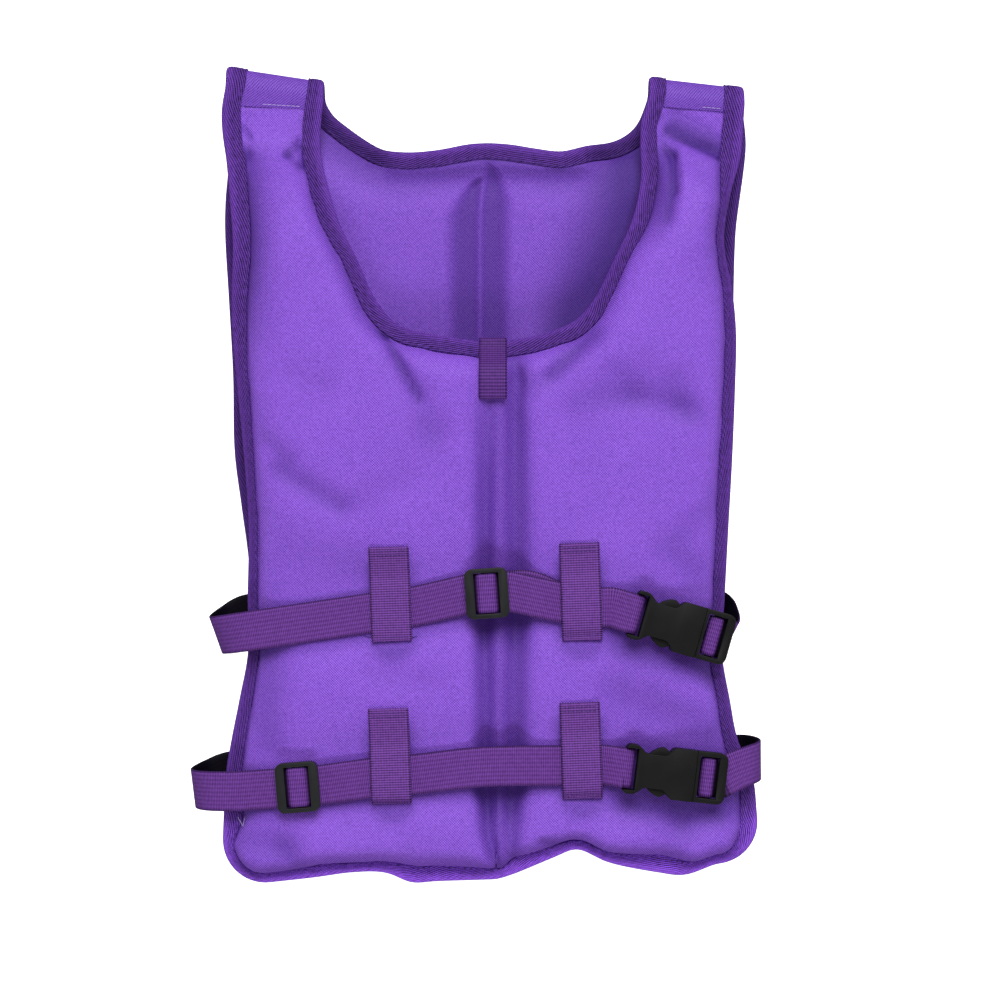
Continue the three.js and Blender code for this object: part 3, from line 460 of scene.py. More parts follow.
@dataclass
class Nodes:
    """A small hand for wiring a material's nodes."""

    material: bpy.types.Material

    def add(self, kind: str, **settings: object) -> bpy.types.Node:
        """Adds a node.

        Args:
            kind: Its type.
            settings: Its properties by name.

        Returns:
            The new node.
        """
        node = self.material.node_tree.nodes.new(kind)
        for name, value in settings.items():
            setattr(node, name, value)
        return node

    def feed(self, value: object, socket: bpy.types.NodeSocket) -> None:
        """Links an output to a socket, or sets the socket's own value.

        Args:
            value: The output, or the value.
            socket: The socket.
        """
        if isinstance(value, bpy.types.NodeSocket):
            self.material.node_tree.links.new(value, socket)
        else:
            socket.default_value = value

    def math(self, operation: str, *values: object) -> bpy.types.NodeSocket:
        """Output of a Math node.

        Args:
            operation: What the node does.
            values: Its inputs in order.

        Returns:
            The result.
        """
        node = self.add("ShaderNodeMath", operation=operation)
        for value, socket in zip(values, node.inputs):
            self.feed(value, socket)
        return node.outputs[0]

    def total(self, *terms: tuple[object, float], base: float = 0.0) -> object:
        """Weighted sum of values.

        Args:
            terms: Values with their weights.
            base: What they are added to.

        Returns:
            The sum.
        """
        result: object = base
        for value, weight in terms:
            result = self.math("MULTIPLY_ADD", value, weight, result)
        return result

    def blend(self, share: object, low: object, high: object) -> bpy.types.NodeSocket:
        """Colour that goes from low to high with share.

        Args:
            share: Where between the two it lies.
            low: Colour at 0.
            high: Colour at 1.

        Returns:
            The colour.
        """
        # The node's colour sockets come after those of its other kinds
        node = self.add("ShaderNodeMix", data_type="RGBA")
        for value, place in ((share, 0), (low, 6), (high, 7)):
            self.feed(value, node.inputs[place])
        return node.outputs[2]

    def noise(self, scale: float, detail: float = 2.0) -> bpy.types.NodeSocket:
        """Noise on Object coordinates.

        Args:
            scale: Cells for each metre.
            detail: How fine it goes.

        Returns:
            Values from 0 to 1.
        """
        coordinates = self.add("ShaderNodeTexCoord")
        node = self.add("ShaderNodeTexNoise")
        node.inputs["Scale"].default_value = scale
        node.inputs["Detail"].default_value = detail
        self.feed(coordinates.outputs["Object"], node.inputs["Vector"])
        return node.outputs["Fac"]

    def painted_shading(self) -> bpy.types.NodeSocket:
        """Share of painted shade that the piece's points hold."""
        return self.add("ShaderNodeAttribute", attribute_name=PAINTED_SHADING).outputs["Fac"]

    def threads(self) -> tuple[bpy.types.NodeSocket, bpy.types.NodeSocket]:
        """The piece's own pattern coordinates.

        Returns:
            Lengths along and across the piece, in metres.
        """
        uv = self.add("ShaderNodeUVMap", uv_map=WEAVE)
        split = self.add("ShaderNodeSeparateXYZ")
        self.feed(uv.outputs["UV"], split.inputs[0])
        return split.outputs[0], split.outputs[1]

    def streaks(self, along: object, across: object, length: float, width: float) -> bpy.types.NodeSocket:
        """Irregular streaks.

        Args:
            along: Coordinate along them.
            across: Coordinate across them.
            length: Their length in metres.
            width: Their width in metres.

        Returns:
            Values from 0 to 1.
        """
        place = self.add("ShaderNodeCombineXYZ")
        self.feed(self.math("DIVIDE", along, length), place.inputs[0])
        self.feed(self.math("DIVIDE", across, width), place.inputs[1])
        node = self.add("ShaderNodeTexNoise", noise_dimensions="2D")
        node.inputs["Scale"].default_value = 1.0
        self.feed(place.outputs[0], node.inputs["Vector"])
        return node.outputs["Fac"]

    def ribs(self, place: object, pitch: float) -> bpy.types.NodeSocket:
        """Sine ribs along a coordinate, from -1 to 1."""
        return self.math("SINE", self.math("MULTIPLY", place, 2.0 * math.pi / pitch))

    def unit(self, signed: object) -> bpy.types.NodeSocket:
        """A value from -1 to 1 moved to 0 to 1."""
        return self.math("MULTIPLY_ADD", signed, 0.5, 0.5)

    def stretched(self, value: object, low: float, high: float) -> bpy.types.NodeSocket:
        """A value with its contrast raised.

        Args:
            value: What is stretched.
            low: Value that becomes 0.
            high: Value that becomes 1.

        Returns:
            Values from 0 to 1.
        """
        node = self.add("ShaderNodeMapRange")
        for part, socket in zip((value, low, high), node.inputs):
            self.feed(part, socket)
        return node.outputs[0]

    def bump(self, height: object, depth: float, strength: float) -> bpy.types.NodeSocket:
        """Normal of a surface with a relief.

        Args:
            height: The relief, from 0 to 1.
            depth: Its depth in metres.
            strength: How far it shows.

        Returns:
            The normal.
        """
        node = self.add("ShaderNodeBump")
        node.inputs["Strength"].default_value = strength
        node.inputs["Distance"].default_value = depth
        self.feed(height, node.inputs["Height"])
        return node.outputs["Normal"]


Colour = tuple[float, float, float, float]
LIGHT_LEVEL = 1.45


def tone(red: int, green: int, blue: int, light: float = LIGHT_LEVEL) -> Colour:
    """Linear colour that the light shows in a display colour, which only patches of weave take above 255."""
    linear = [((c / 255 + 0.055) / 1.055) ** 2.4 if c > 10 else c / 255 / 12.92 for c in (red, green, blue)]
    return (*[c / light for c in linear], 1.0)


def scaled(colour: Colour, gain: float) -> Colour:
    """A colour made brighter or darker."""
    return (*[gain * c for c in colour[:3]], 1.0)


@dataclass(frozen=True)
class Finish:
    """What the finishes share: a name, two tones, the gloss and the fine relief of the surface."""

    name: str
    dark: Colour
    light: Colour
    roughness: float = 0.6
    specular: float = 0.35
    swing: float = 0.05
    swing_scale: float = 60.0
    relief_depth: float = 0.0001
    relief_strength: float = 0.4

    def pattern(self, nodes: Nodes) -> tuple[object, object]:
        """Colour of the surface and its relief, or None for an even one."""
        raise NotImplementedError

    def material(self) -> bpy.types.Material:
        """Makes the material, with a roughness that varies over the surface.

        Returns:
            The new material.
        """
        material = bpy.data.materials.new(self.name)
        material.use_nodes = True
        nodes = Nodes(material)
        colour, relief = self.pattern(nodes)
        swing = nodes.noise(self.swing_scale)
        rough = nodes.total((swing, 2.0 * self.swing), base=self.roughness - self.swing)
        values = {"Base Color": colour, "Roughness": rough, "Specular IOR Level": self.specular}
        if relief is not None:
            values["Normal"] = nodes.bump(relief, self.relief_depth, self.relief_strength)
        for name, value in values.items():
            nodes.feed(value, material.node_tree.nodes["Principled BSDF"].inputs[name])
        return material


@dataclass(frozen=True)
class WovenCloth(Finish):
    """Satin cloth with a fine plain weave, darker with painted shade where its points hold a share of it."""

    # Colour of the painted shade
    shade: Colour = tone(38, 8, 108)
    pitch: float = 0.0016
    rising_share: float = 0.6
    slub_scale: float = 620.0
    detail: float = 3.0
    cloud_scale: float = 21.0
    weave_weight: float = 0.8
    slub_weight: float = 0.5
    cloud_weight: float = 0.15
    level: float = -0.23
    slub_relief: float = 0.7
    swing: float = 0.07
    swing_scale: float = 40.0
    relief_depth: float = 0.00022
    relief_strength: float = 0.45

    def pattern(self, nodes: Nodes) -> tuple[object, object]:
        """Weave with its diagonal, soft cloudiness of the dye and slubs in the threads.

        Args:
            nodes: Wiring hand of the material.

        Returns:
            Colour and relief.
        """
        along, across = nodes.threads()
        rising = nodes.ribs(nodes.math("ADD", along, across), self.pitch)
        falling = nodes.ribs(nodes.math("SUBTRACT", along, across), self.pitch)
        weave = nodes.unit(nodes.total((rising, self.rising_share), (falling, 1.0 - self.rising_share)))
        slub, cloud = (nodes.noise(scale, self.detail) for scale in (self.slub_scale, self.cloud_scale))
        share = nodes.total((weave, self.weave_weight), (slub, self.slub_weight), (cloud, self.cloud_weight),
                            base=self.level)
        woven = nodes.blend(share, self.dark, self.light)
        relief = nodes.total((weave, 1.0), (slub, self.slub_relief))
        # Painted shade darkens the weave towards the shade colour by the points' share
        return nodes.blend(nodes.painted_shading(), woven, self.shade), relief


@dataclass(frozen=True)
class TwillTape(Finish):
    """Matt tape with steep diagonal ribs: pale with painted light at share 0, even at 0.5, dark with painted
    shade at 1.
    """

    pitch: float = 0.0017
    cross_pitch: float = 0.00136
    slant: float = 0.4
    slub_size: tuple[float, float] = (0.004, 0.0009)
    slub_range: tuple[float, float] = (0.22, 0.76)
    rib_weight: float = 0.6
    cross_weight: float = 0.1
    slub_weight: float = 0.4
    level: float = -0.1
    # Painted highlight along the tape's folded edge: its place across the tape, share, fade and least share
    lip: float = 0.015
    painted_highlight: float = 0.3
    highlight_fade: float = 45.0
    highlight_least: float = -0.06
    # Gain of the painted light that makes the tape pale along the hem
    painted_light_gain: float = 2.7
    slub_relief: float = 0.5
    relief_depth: float = 0.0003
    relief_strength: float = 0.6

    def pattern(self, nodes: Nodes) -> tuple[object, object]:
        """Steep ribs broken by cross threads, with a painted highlight along the fold.

        Args:
            nodes: Wiring hand of the material.

        Returns:
            Colour and relief.
        """
        along, across = nodes.threads()
        diagonal = nodes.total((along, self.slant), (across, 1.0))
        rib = nodes.unit(nodes.ribs(diagonal, self.pitch))
        cross = nodes.unit(nodes.ribs(along, self.cross_pitch))
        slub = nodes.streaks(along, diagonal, *self.slub_size)
        # Painted highlight, lighter along the tape's folded edge
        off = nodes.math("ABSOLUTE", nodes.math("SUBTRACT", across, self.lip))
        painted_highlight = nodes.math("MAXIMUM", nodes.total((off, -self.highlight_fade), base=self.painted_highlight), self.highlight_least)
        streak = nodes.stretched(slub, *self.slub_range)
        share = nodes.total((rib, self.rib_weight), (cross, self.cross_weight), (streak, self.slub_weight),
                            (painted_highlight, 1.0), base=self.level)
        # Points' share 0 gives the painted light of the hem, 0.5 the even weave and 1 the painted shade
        pale, even = (nodes.blend(share, scaled(self.dark, gain), scaled(self.light, gain))
                      for gain in (self.painted_light_gain, 1.0))
        twice = nodes.total((nodes.painted_shading(), 2.0))
        woven = nodes.blend(twice, pale, even)
        woven = nodes.blend(nodes.math("SUBTRACT", twice, 1.0), woven, self.dark)
        return woven, nodes.total((rib, 1.0), (slub, self.slub_relief))


@dataclass(frozen=True)
class WovenBand(Finish):
    """Webbing with lengthwise ribs, cross threads and darker edges, and painted shade down to almost black.
    """

    rib_pitch: float = 0.0026
    cross_pitch: float = 0.00112
    thread_weight: float = 0.65
    cross_share: float = 0.45
    slub_scale: float = 520.0
    detail: float = 3.0
    slub_weight: float = 0.35
    half: float = 0.0125
    edge: float = 0.0011
    edge_weight: float = -0.25
    # Painted shade: the dark tone scaled down, almost black
    shade_gain: float = 0.1
    rib_relief: float = 0.35
    cross_relief: float = 0.7
    slub_relief: float = 0.5
    swing: float = 0.06
    swing_scale: float = 50.0
    relief_depth: float = 0.00028
    relief_strength: float = 0.55

    def pattern(self, nodes: Nodes) -> tuple[object, object]:
        """Ribs along the band and threads across it.

        Args:
            nodes: Wiring hand of the material.

        Returns:
            Colour and relief.
        """
        along, across = nodes.threads()
        rib = nodes.unit(nodes.ribs(across, self.rib_pitch))
        cross = nodes.unit(nodes.ribs(along, self.cross_pitch))
        slub = nodes.noise(self.slub_scale, self.detail)
        edge = nodes.math("GREATER_THAN", nodes.math("ABSOLUTE", across), self.half - self.edge)
        share = nodes.total((rib, self.thread_weight - self.cross_share), (cross, self.cross_share),
                            (slub, self.slub_weight), (edge, self.edge_weight))
        woven = nodes.blend(share, self.dark, self.light)
        relief = nodes.total((rib, self.rib_relief), (cross, self.cross_relief), (slub, self.slub_relief))
        # Painted shade darkens the webbing towards almost black by the points' share
        return nodes.blend(nodes.painted_shading(), woven, scaled(self.dark, self.shade_gain)), relief


@dataclass(frozen=True)
class MouldedPlastic(Finish):
    """Black plastic with the fine grain of its mould."""

    grain_scale: float = 2600.0
    rub_scale: float = 90.0
    rub_detail: float = 4.0
    swing: float = 0.09
    swing_scale: float = 140.0
    relief_depth: float = 0.00004
    relief_strength: float = 0.35

    def pattern(self, nodes: Nodes) -> tuple[object, object]:
        """Faint rubbing and the grain of the mould."""
        rub = nodes.blend(nodes.noise(self.rub_scale, self.rub_detail), self.dark, self.light)
        return rub, nodes.noise(self.grain_scale)


@dataclass(frozen=True)
class SewingThread(Finish):
    """Twisted thread of the seams."""

    pitch: float = 0.0007
    dye_scale: float = 300.0
    twist_weight: float = 0.5
    dye_weight: float = 0.5
    swing_scale: float = 80.0

    def pattern(self, nodes: Nodes) -> tuple[object, object]:
        """Twist of the thread and its uneven dye.

        Args:
            nodes: Wiring hand of the material.

        Returns:
            Colour and relief.
        """
        twist = nodes.unit(nodes.ribs(nodes.math("ADD", *nodes.threads()), self.pitch))
        share = nodes.total((twist, self.twist_weight), (nodes.noise(self.dye_scale), self.dye_weight))
        return nodes.blend(share, self.dark, self.light), twist


@dataclass(frozen=True)
class PaleFloor(Finish):
    """Plain pale studio floor, lit a little from below as a light table is."""

    glow: float = 0.92
    cloud_scale: float = 3.0
    swing: float = 0.03
    swing_scale: float = 6.0

    def pattern(self, nodes: Nodes) -> tuple[object, object]:
        """Even paper with a trace of cloudiness."""
        return nodes.blend(nodes.noise(self.cloud_scale), self.dark, self.light), None

    def material(self) -> bpy.types.Material:
        """Makes the material and lets it glow.

        Returns:
            The new material.
        """
        material = super().material()
        shader = material.node_tree.nodes["Principled BSDF"]
        shader.inputs["Emission Color"].default_value = (1.0, 1.0, 1.0, 1.0)
        shader.inputs["Emission Strength"].default_value = self.glow
        return material


class Finishes:
    """Every finish of the vest, made once."""

    def __init__(self) -> None:
        """Makes the materials."""
        self.cloth = WovenCloth(
            "vest_cloth", tone(62, 14, 146), tone(194, 128, 280), specular=0.16).material()
        self.tape = TwillTape(
            "edge_tape", tone(0, 0, 34), tone(134, 78, 208), 0.8, 0.12).material()
        self.belt = WovenBand(
            "belt_webbing", tone(30, 0, 62), tone(146, 84, 196), 0.6, 0.12).material()
        self.loop = WovenBand(
            "loop_webbing", tone(0, 0, 30), tone(154, 90, 206), 0.65, 0.12,
            rib_pitch=0.0017, cross_pitch=0.0015, cross_share=0.5, rib_relief=0.6).material()
        self.tab = WovenBand(
            "tab_webbing", tone(40, 8, 76), tone(122, 70, 168), 0.65, 0.12,
            rib_pitch=0.0017, cross_pitch=0.0021, cross_share=0.5, half=0.00875).material()
        self.plastic = MouldedPlastic(
            "black_plastic", tone(10, 11, 10), tone(17, 18, 17), 0.5, 0.2).material()
        self.slider = MouldedPlastic(
            "slider_plastic", tone(20, 21, 22), tone(34, 36, 37), 0.48, 0.26).material()
        self.seam = SewingThread(
            "seam_thread", tone(58, 28, 112), tone(86, 50, 146)).material()
        self.glint = SewingThread(
            "shoulder_thread", tone(190, 170, 240), tone(235, 225, 255), 0.5).material()
        self.floor = PaleFloor(
            "studio_floor", tone(243, 243, 243, 1.0), tone(247, 247, 247, 1.0), 0.9, 0.1).material()


@dataclass(frozen=True)
class Rim:
    """One stretch of a panel's rim: plan lines of its edge and its inset, and the edge's drop."""

    edge: Array
    inset: Array
    drop: Array


@dataclass(frozen=True)
class HalfPanel:
    """Rims of one half of a panel."""

    side: Side
    hem: Rim
    flank: Rim
    neck: Rim


class Roll(NamedTuple):
    """Widths over which the foam rolls down to its edges, at one height of the plan."""

    y: float
    left: float
    right: float
    neck_left: float
    neck_right: float


class Near(NamedTuple):
    """How places stand to an edge: distance, length along it and rise of its rim."""

    away: Array
    along: Array
    rise: Array


class Spots(NamedTuple):
    """Plan places of a panel, flat, and how they stand to its outer edge and to its neck edge."""

    x: Array
    y: Array
    outside: Near
    neck: Near


@dataclass
class Panel:
    """A foam-filled panel in two halves that meet at its centre valley."""

    name: str
    sides: Sequence[tuple[float, float, float]]
    corners: dict[Side, Corner]
    hem_centre: Plan
    hems: dict[Side, Sequence[Plan]]
    neck_centre: Plan
    necks: dict[Side, Sequence[Plan]]
    neck_share: float
    valley_rows: int
    neck_rows: int
    fade: tuple[float, float]
    columns: int = 66
    setback: float = 0.0
    rolls: Sequence[Roll] = (Roll(0, 26, 26, 26, 26),)
    rim_columns: int = 5
    rim_rise: float = 0.0
    crowding: float = 0.86
    ruffle_ends: float = 0.5
    edge_samples: int = 400
    corner_steps: int = 12
    edge_blend: float = 10.0
    gathers: Sequence[Ripple] = ()
    gather_reach: float = 10.0
    gather_start: float = 3.0
    neck_start: float = 0.0
    rollings: Sequence[Ripple] = ()

    def tilt(self, y: Array, side: Side) -> Array:
        """Slope angle of the outer rim at plan heights."""
        return np.zeros(np.shape(y))

    def neck_tilt(self, y: Array) -> Array:
        """Slope angle of the neck's rim at plan heights."""
        return np.zeros(np.shape(y))

    def rim_share(self, edge: Array, side: Side | None) -> Array:
        """Share of the full rim width at places of an edge; side is None for a neck."""
        raise NotImplementedError

    def painted_shading(self, at: Spots) -> Array:
        """Share of painted shade at places of the foam, from 0 to 1."""
        raise NotImplementedError

    def crowded(self, count: int) -> Array:
        """Shares from 0 to 1 that crowd towards both ends."""
        even = np.linspace(0.0, 1.0, count + 1)
        return even - self.crowding * np.sin(2 * math.pi * even) / (2 * math.pi)

    def rim(self, line: Array, shares: Array, turn: int, side: Side | None) -> Rim:
        """Rim stations at shares of an edge line.

        Args:
            line: Plan points of the edge.
            shares: Where the stations stand.
            turn: Side of the line on which the cloth lies.
            side: Half whose outer rim it is, or None for a neck.

        Returns:
            The stretch of rim.
        """
        even = np.linspace(0.0, 1.0, self.edge_samples)
        tangents = directions(resample(line, even))
        inward = np.stack([-tangents[:, 1], tangents[:, 0]], axis=1) * turn
        edge = resample(line, shares)
        normal = np.stack([np.interp(shares, even, column) for column in inward.T], axis=1)
        angle = self.neck_tilt(edge[:, 1]) if side is None else self.tilt(edge[:, 1], side)
        width = RIM_WIDTH * self.rim_share(edge, side)
        return Rim(edge, edge + normal * (width * np.cos(angle))[:, None], width * np.sin(angle))

    def half(self, side: Side) -> HalfPanel:
        """Rims of one half.

        Args:
            side: Which half.

        Returns:
            Its hem, flank and neck.
        """
        sign, corner, shoulder = side.value, self.corners[side], SHOULDERS[side]
        ends = np.array([shoulder.outer_x, shoulder.inner_x])
        folds = np.stack([ends, shoulder.line(ends, True) - self.setback], axis=1)
        across = (folds[1] - folds[0]) / np.linalg.norm(folds[1] - folds[0])

        def bend(start: float, stop: float) -> Array:
            """Points of the rounded corner.

            Args:
                start: Angle from straight down.
                stop: Angle at the end.

            Returns:
                Plan points.
            """
            angle = np.linspace(start, stop, self.corner_steps)
            return np.stack([corner.x + sign * corner.radius * np.sin(angle),
                             corner.y - corner.radius * np.cos(angle)], axis=1)

        hem_line = spline([self.hem_centre, *self.hems[side], (corner.x, corner.y - corner.radius)])
        hem_line = np.vstack([hem_line, bend(0.0, math.pi / 4)[1:]])
        column = 1 if side is Side.LEFT else 2
        flank_line = spline([(corner.x + sign * corner.radius, corner.y),
                             *[(row[column], row[0]) for row in self.sides], folds[0]])
        flank_line = np.vstack([bend(math.pi / 4, math.pi / 2)[:-1], flank_line])
        neck_line = spline([self.neck_centre, *self.necks[side], folds[1]])
        lower = np.linspace(0.0, 1.0, self.valley_rows + 1) * self.neck_share
        upper = np.linspace(self.neck_share, 1.0, self.neck_rows + 1)[1:]
        hem = self.rim(hem_line, self.crowded(self.columns), sign, side)
        flank = self.rim(flank_line, np.concatenate([lower, upper]), sign, side)
        neck = self.rim(neck_line, np.linspace(0.0, 1.0, self.neck_rows + 1), -sign, None)
        hem.inset[0] = hem.edge[0] + (0.0, np.linalg.norm(hem.inset[0] - hem.edge[0]))
        hem.inset[-1] = flank.inset[0]
        neck.inset[0] = neck.edge[0] - (0.0, np.linalg.norm(neck.inset[0] - neck.edge[0]))
        neck.inset[-1] = neck.edge[-1] - across * np.linalg.norm(neck.inset[-1] - neck.edge[-1])
        flank.inset[-1] = flank.edge[-1] + across * np.linalg.norm(flank.inset[-1] - flank.edge[-1])
        return HalfPanel(side, hem, flank, neck)

    def foam_grid(self, half: HalfPanel) -> Array:
        """Plan points of the foam inside the rims, row by row from the hem to the shoulder.

        Args:
            half: Rims of the half.

        Returns:
            Array of rows, columns and two coordinates.
        """
        valley = self.crowded(self.valley_rows)[:, None]
        inner = np.vstack([mix(half.hem.inset[0], half.neck.inset[0], valley), half.neck.inset[1:]])
        outer = half.flank.inset
        shares = self.crowded(self.columns)[None, :, None]
        grid = mix(inner[:, None, :], outer[:, None, :], shares)
        ruffle = half.hem.inset - mix(half.hem.inset[0], half.hem.inset[-1], shares[0])
        height = np.linspace(0.0, 1.0, self.valley_rows + 1)
        blend = np.concatenate([fall(height, 0.0, self.ruffle_ends), np.zeros(self.neck_rows)])
        return grid + ruffle[None] * blend[:, None, None]

    def edge_lines(self) -> tuple[Array, Array]:
        """Inset lines of both halves.

        Returns:
            The lines round the outside and round the neck, each with the drop of its edge as a third column.
        """
        left, right = (self.half(side) for side in Side)

        def line(rim: Rim) -> Array:
            """Inset points and drop of one stretch."""
            return np.column_stack([rim.inset, rim.drop])

        outside = np.vstack([line(left.flank)[::-1], line(left.hem)[::-1],
                             line(right.hem), line(right.flank)])
        return outside, np.vstack([line(left.neck)[::-1], line(right.neck)])

    def spots(self, x: Array, y: Array) -> Spots:
        """How places stand to the outer edge and to the neck edge.

        Args:
            x: Plan places, flat.
            y: Plan places, flat.

        Returns:
            The places with both edges.
        """
        lines = self.edge_lines()
        found = [to_line(x, y, line[:, :2]) for line in lines]
        rises = [self.rim_rise * np.interp(along, lengths_along(line[:, :2]), line[:, 2])
                 for (_, along), line in zip(found, lines)]
        share = smoothstep(found[1][0] - found[0][0], -self.edge_blend, self.edge_blend)
        return Spots(x, y, Near(*found[0], rises[0] * share), Near(*found[1], rises[1] * (1.0 - share)))

    def swell(self, at: Spots) -> Array:
        """How far the foam has swelled.

        Args:
            at: Places on the foam.

        Returns:
            Shares of the full swell, from 0 at the rim to 1 inside.
        """
        table = np.array(self.rolls)
        left, right, neck_left, neck_right = (np.interp(at.y, table[:, 0], column) for column in table.T[1:])
        on_left = at.x < self.neck_centre[0]
        inside = np.minimum(at.outside.away / np.where(on_left, left, right),
                            at.neck.away / np.where(on_left, neck_left, neck_right))
        inside = np.clip(inside, 0.0, 1.0)
        return np.sqrt(1.0 - (1.0 - inside) ** 2) * fall(at.y, *self.fade)

    def gathered(self, at: Spots) -> Array:
        """Puckers of the cloth along its sewn edges.

        Args:
            at: Places on the foam.

        Returns:
            Heights of the puckers.
        """
        away = np.minimum(at.outside.away, at.neck.away)
        along = np.where(at.outside.away < at.neck.away, at.outside.along, at.neck.along + self.neck_start)
        puckers = rippled(self.gathers, along, away) * np.exp(-away / self.gather_reach)
        return puckers * smoothstep(away, 0.0, self.gather_start)

    def rim_middle(self, x: Array, y: Array) -> Array:
        """Height of the rim's middle at its inset."""
        raise NotImplementedError

    def faces(self, at: Spots) -> tuple[Array, Array]:
        """Heights of the outer and inner face over the foam."""
        raise NotImplementedError

    def fold(self, wall: Wall, top: tuple[Array, Array], side: Side) -> None:
        """Adds a folded shoulder strap, which only the back has: here it adds nothing."""

    def rim_stations(self, rim: Rim) -> tuple[Array, Array]:
        """Middle of a rim in space.

        Args:
            rim: The stretch of rim.

        Returns:
            Points at its edge and at its inset.
        """
        height = self.rim_middle(rim.inset[:, 0], rim.inset[:, 1]) + self.rim_rise * rim.drop
        edge = np.column_stack([rim.edge, height - rim.drop])
        return edge, np.column_stack([rim.inset, height])

    def half_thickness(self, y: Array) -> Array:
        """Half of the rim's thickness."""
        return mix(RIM, CLOTH, smoothstep(y, *STRAP_TAPER)) / 2

    def rim_grid(self, rim: Rim) -> tuple[Array, Array, Array]:
        """Grids of a rim, from inset to edge.

        Args:
            rim: The stretch of rim.

        Returns:
            Outer points, inner points and pattern coordinates.
        """
        edge, inset = self.rim_stations(rim)
        share = np.linspace(0.0, 1.0, self.rim_columns)[None, :, None]
        middle = mix(inset[:, None, :], edge[:, None, :], share)
        lift = np.zeros(middle.shape)
        lift[:, :, 2] = self.half_thickness(inset[:, 1])[:, None]
        return middle + lift, middle - lift, middle[:, :, :2]

    def wall(self) -> tuple[Wall, dict[Side, tuple[Array, Array]]]:
        """Assembles foam, outer rim and neck rim of both halves.

        Returns:
            The wall, and the points of its two faces along each shoulder's fold.
        """
        wall = Wall()
        tops = {}
        for half in (self.half(side) for side in Side):
            flip = half.side is Side.LEFT
            grid = self.foam_grid(half)
            at = self.spots(*grid.reshape(-1, 2).T)
            outer, inner = (np.dstack([grid, face.reshape(grid.shape[:2])]) for face in self.faces(at))
            rims = {key: self.rim_grid(getattr(half, key)) for key in ("hem", "flank", "neck")}
            for key, (high, low, uv) in rims.items():
                # Painted shade of each rim row, as at its inset
                shade = self.painted_shading(self.spots(*high[:, 0, :2].T))
                wall.add(high, low, uv, flip != (key == "neck"), np.repeat(shade, high.shape[1]))
            for face, part in ((outer, 0), (inner, 1)):
                face[0] = rims["hem"][part][:, 0]
                face[:, -1] = rims["flank"][part][:, 0]
                face[self.valley_rows:, 0] = rims["neck"][part][:, 0]
            wall.add(outer, inner, grid, flip, self.painted_shading(at))
            tops[half.side] = tuple(
                np.vstack([rims["neck"][part][-1, ::-1], face[-1, 1:-1], rims["flank"][part][-1]])
                for part, face in ((0, outer), (1, inner)))
        return wall, tops

    def build(self, finishes: Finishes) -> bpy.types.Object:
        """Makes the padded panel with its straps.

        Args:
            finishes: The vest's finishes.

        Returns:
            The finished piece.
        """
        wall, tops = self.wall()
        for side, top in tops.items():
            self.fold(wall, top, side)
        obj = wall.build(self.name, finishes.cloth)
        return Piece.settle(obj, Slot.CLOTH, f"{self.name}_panel", fill=FOAM_FILL)


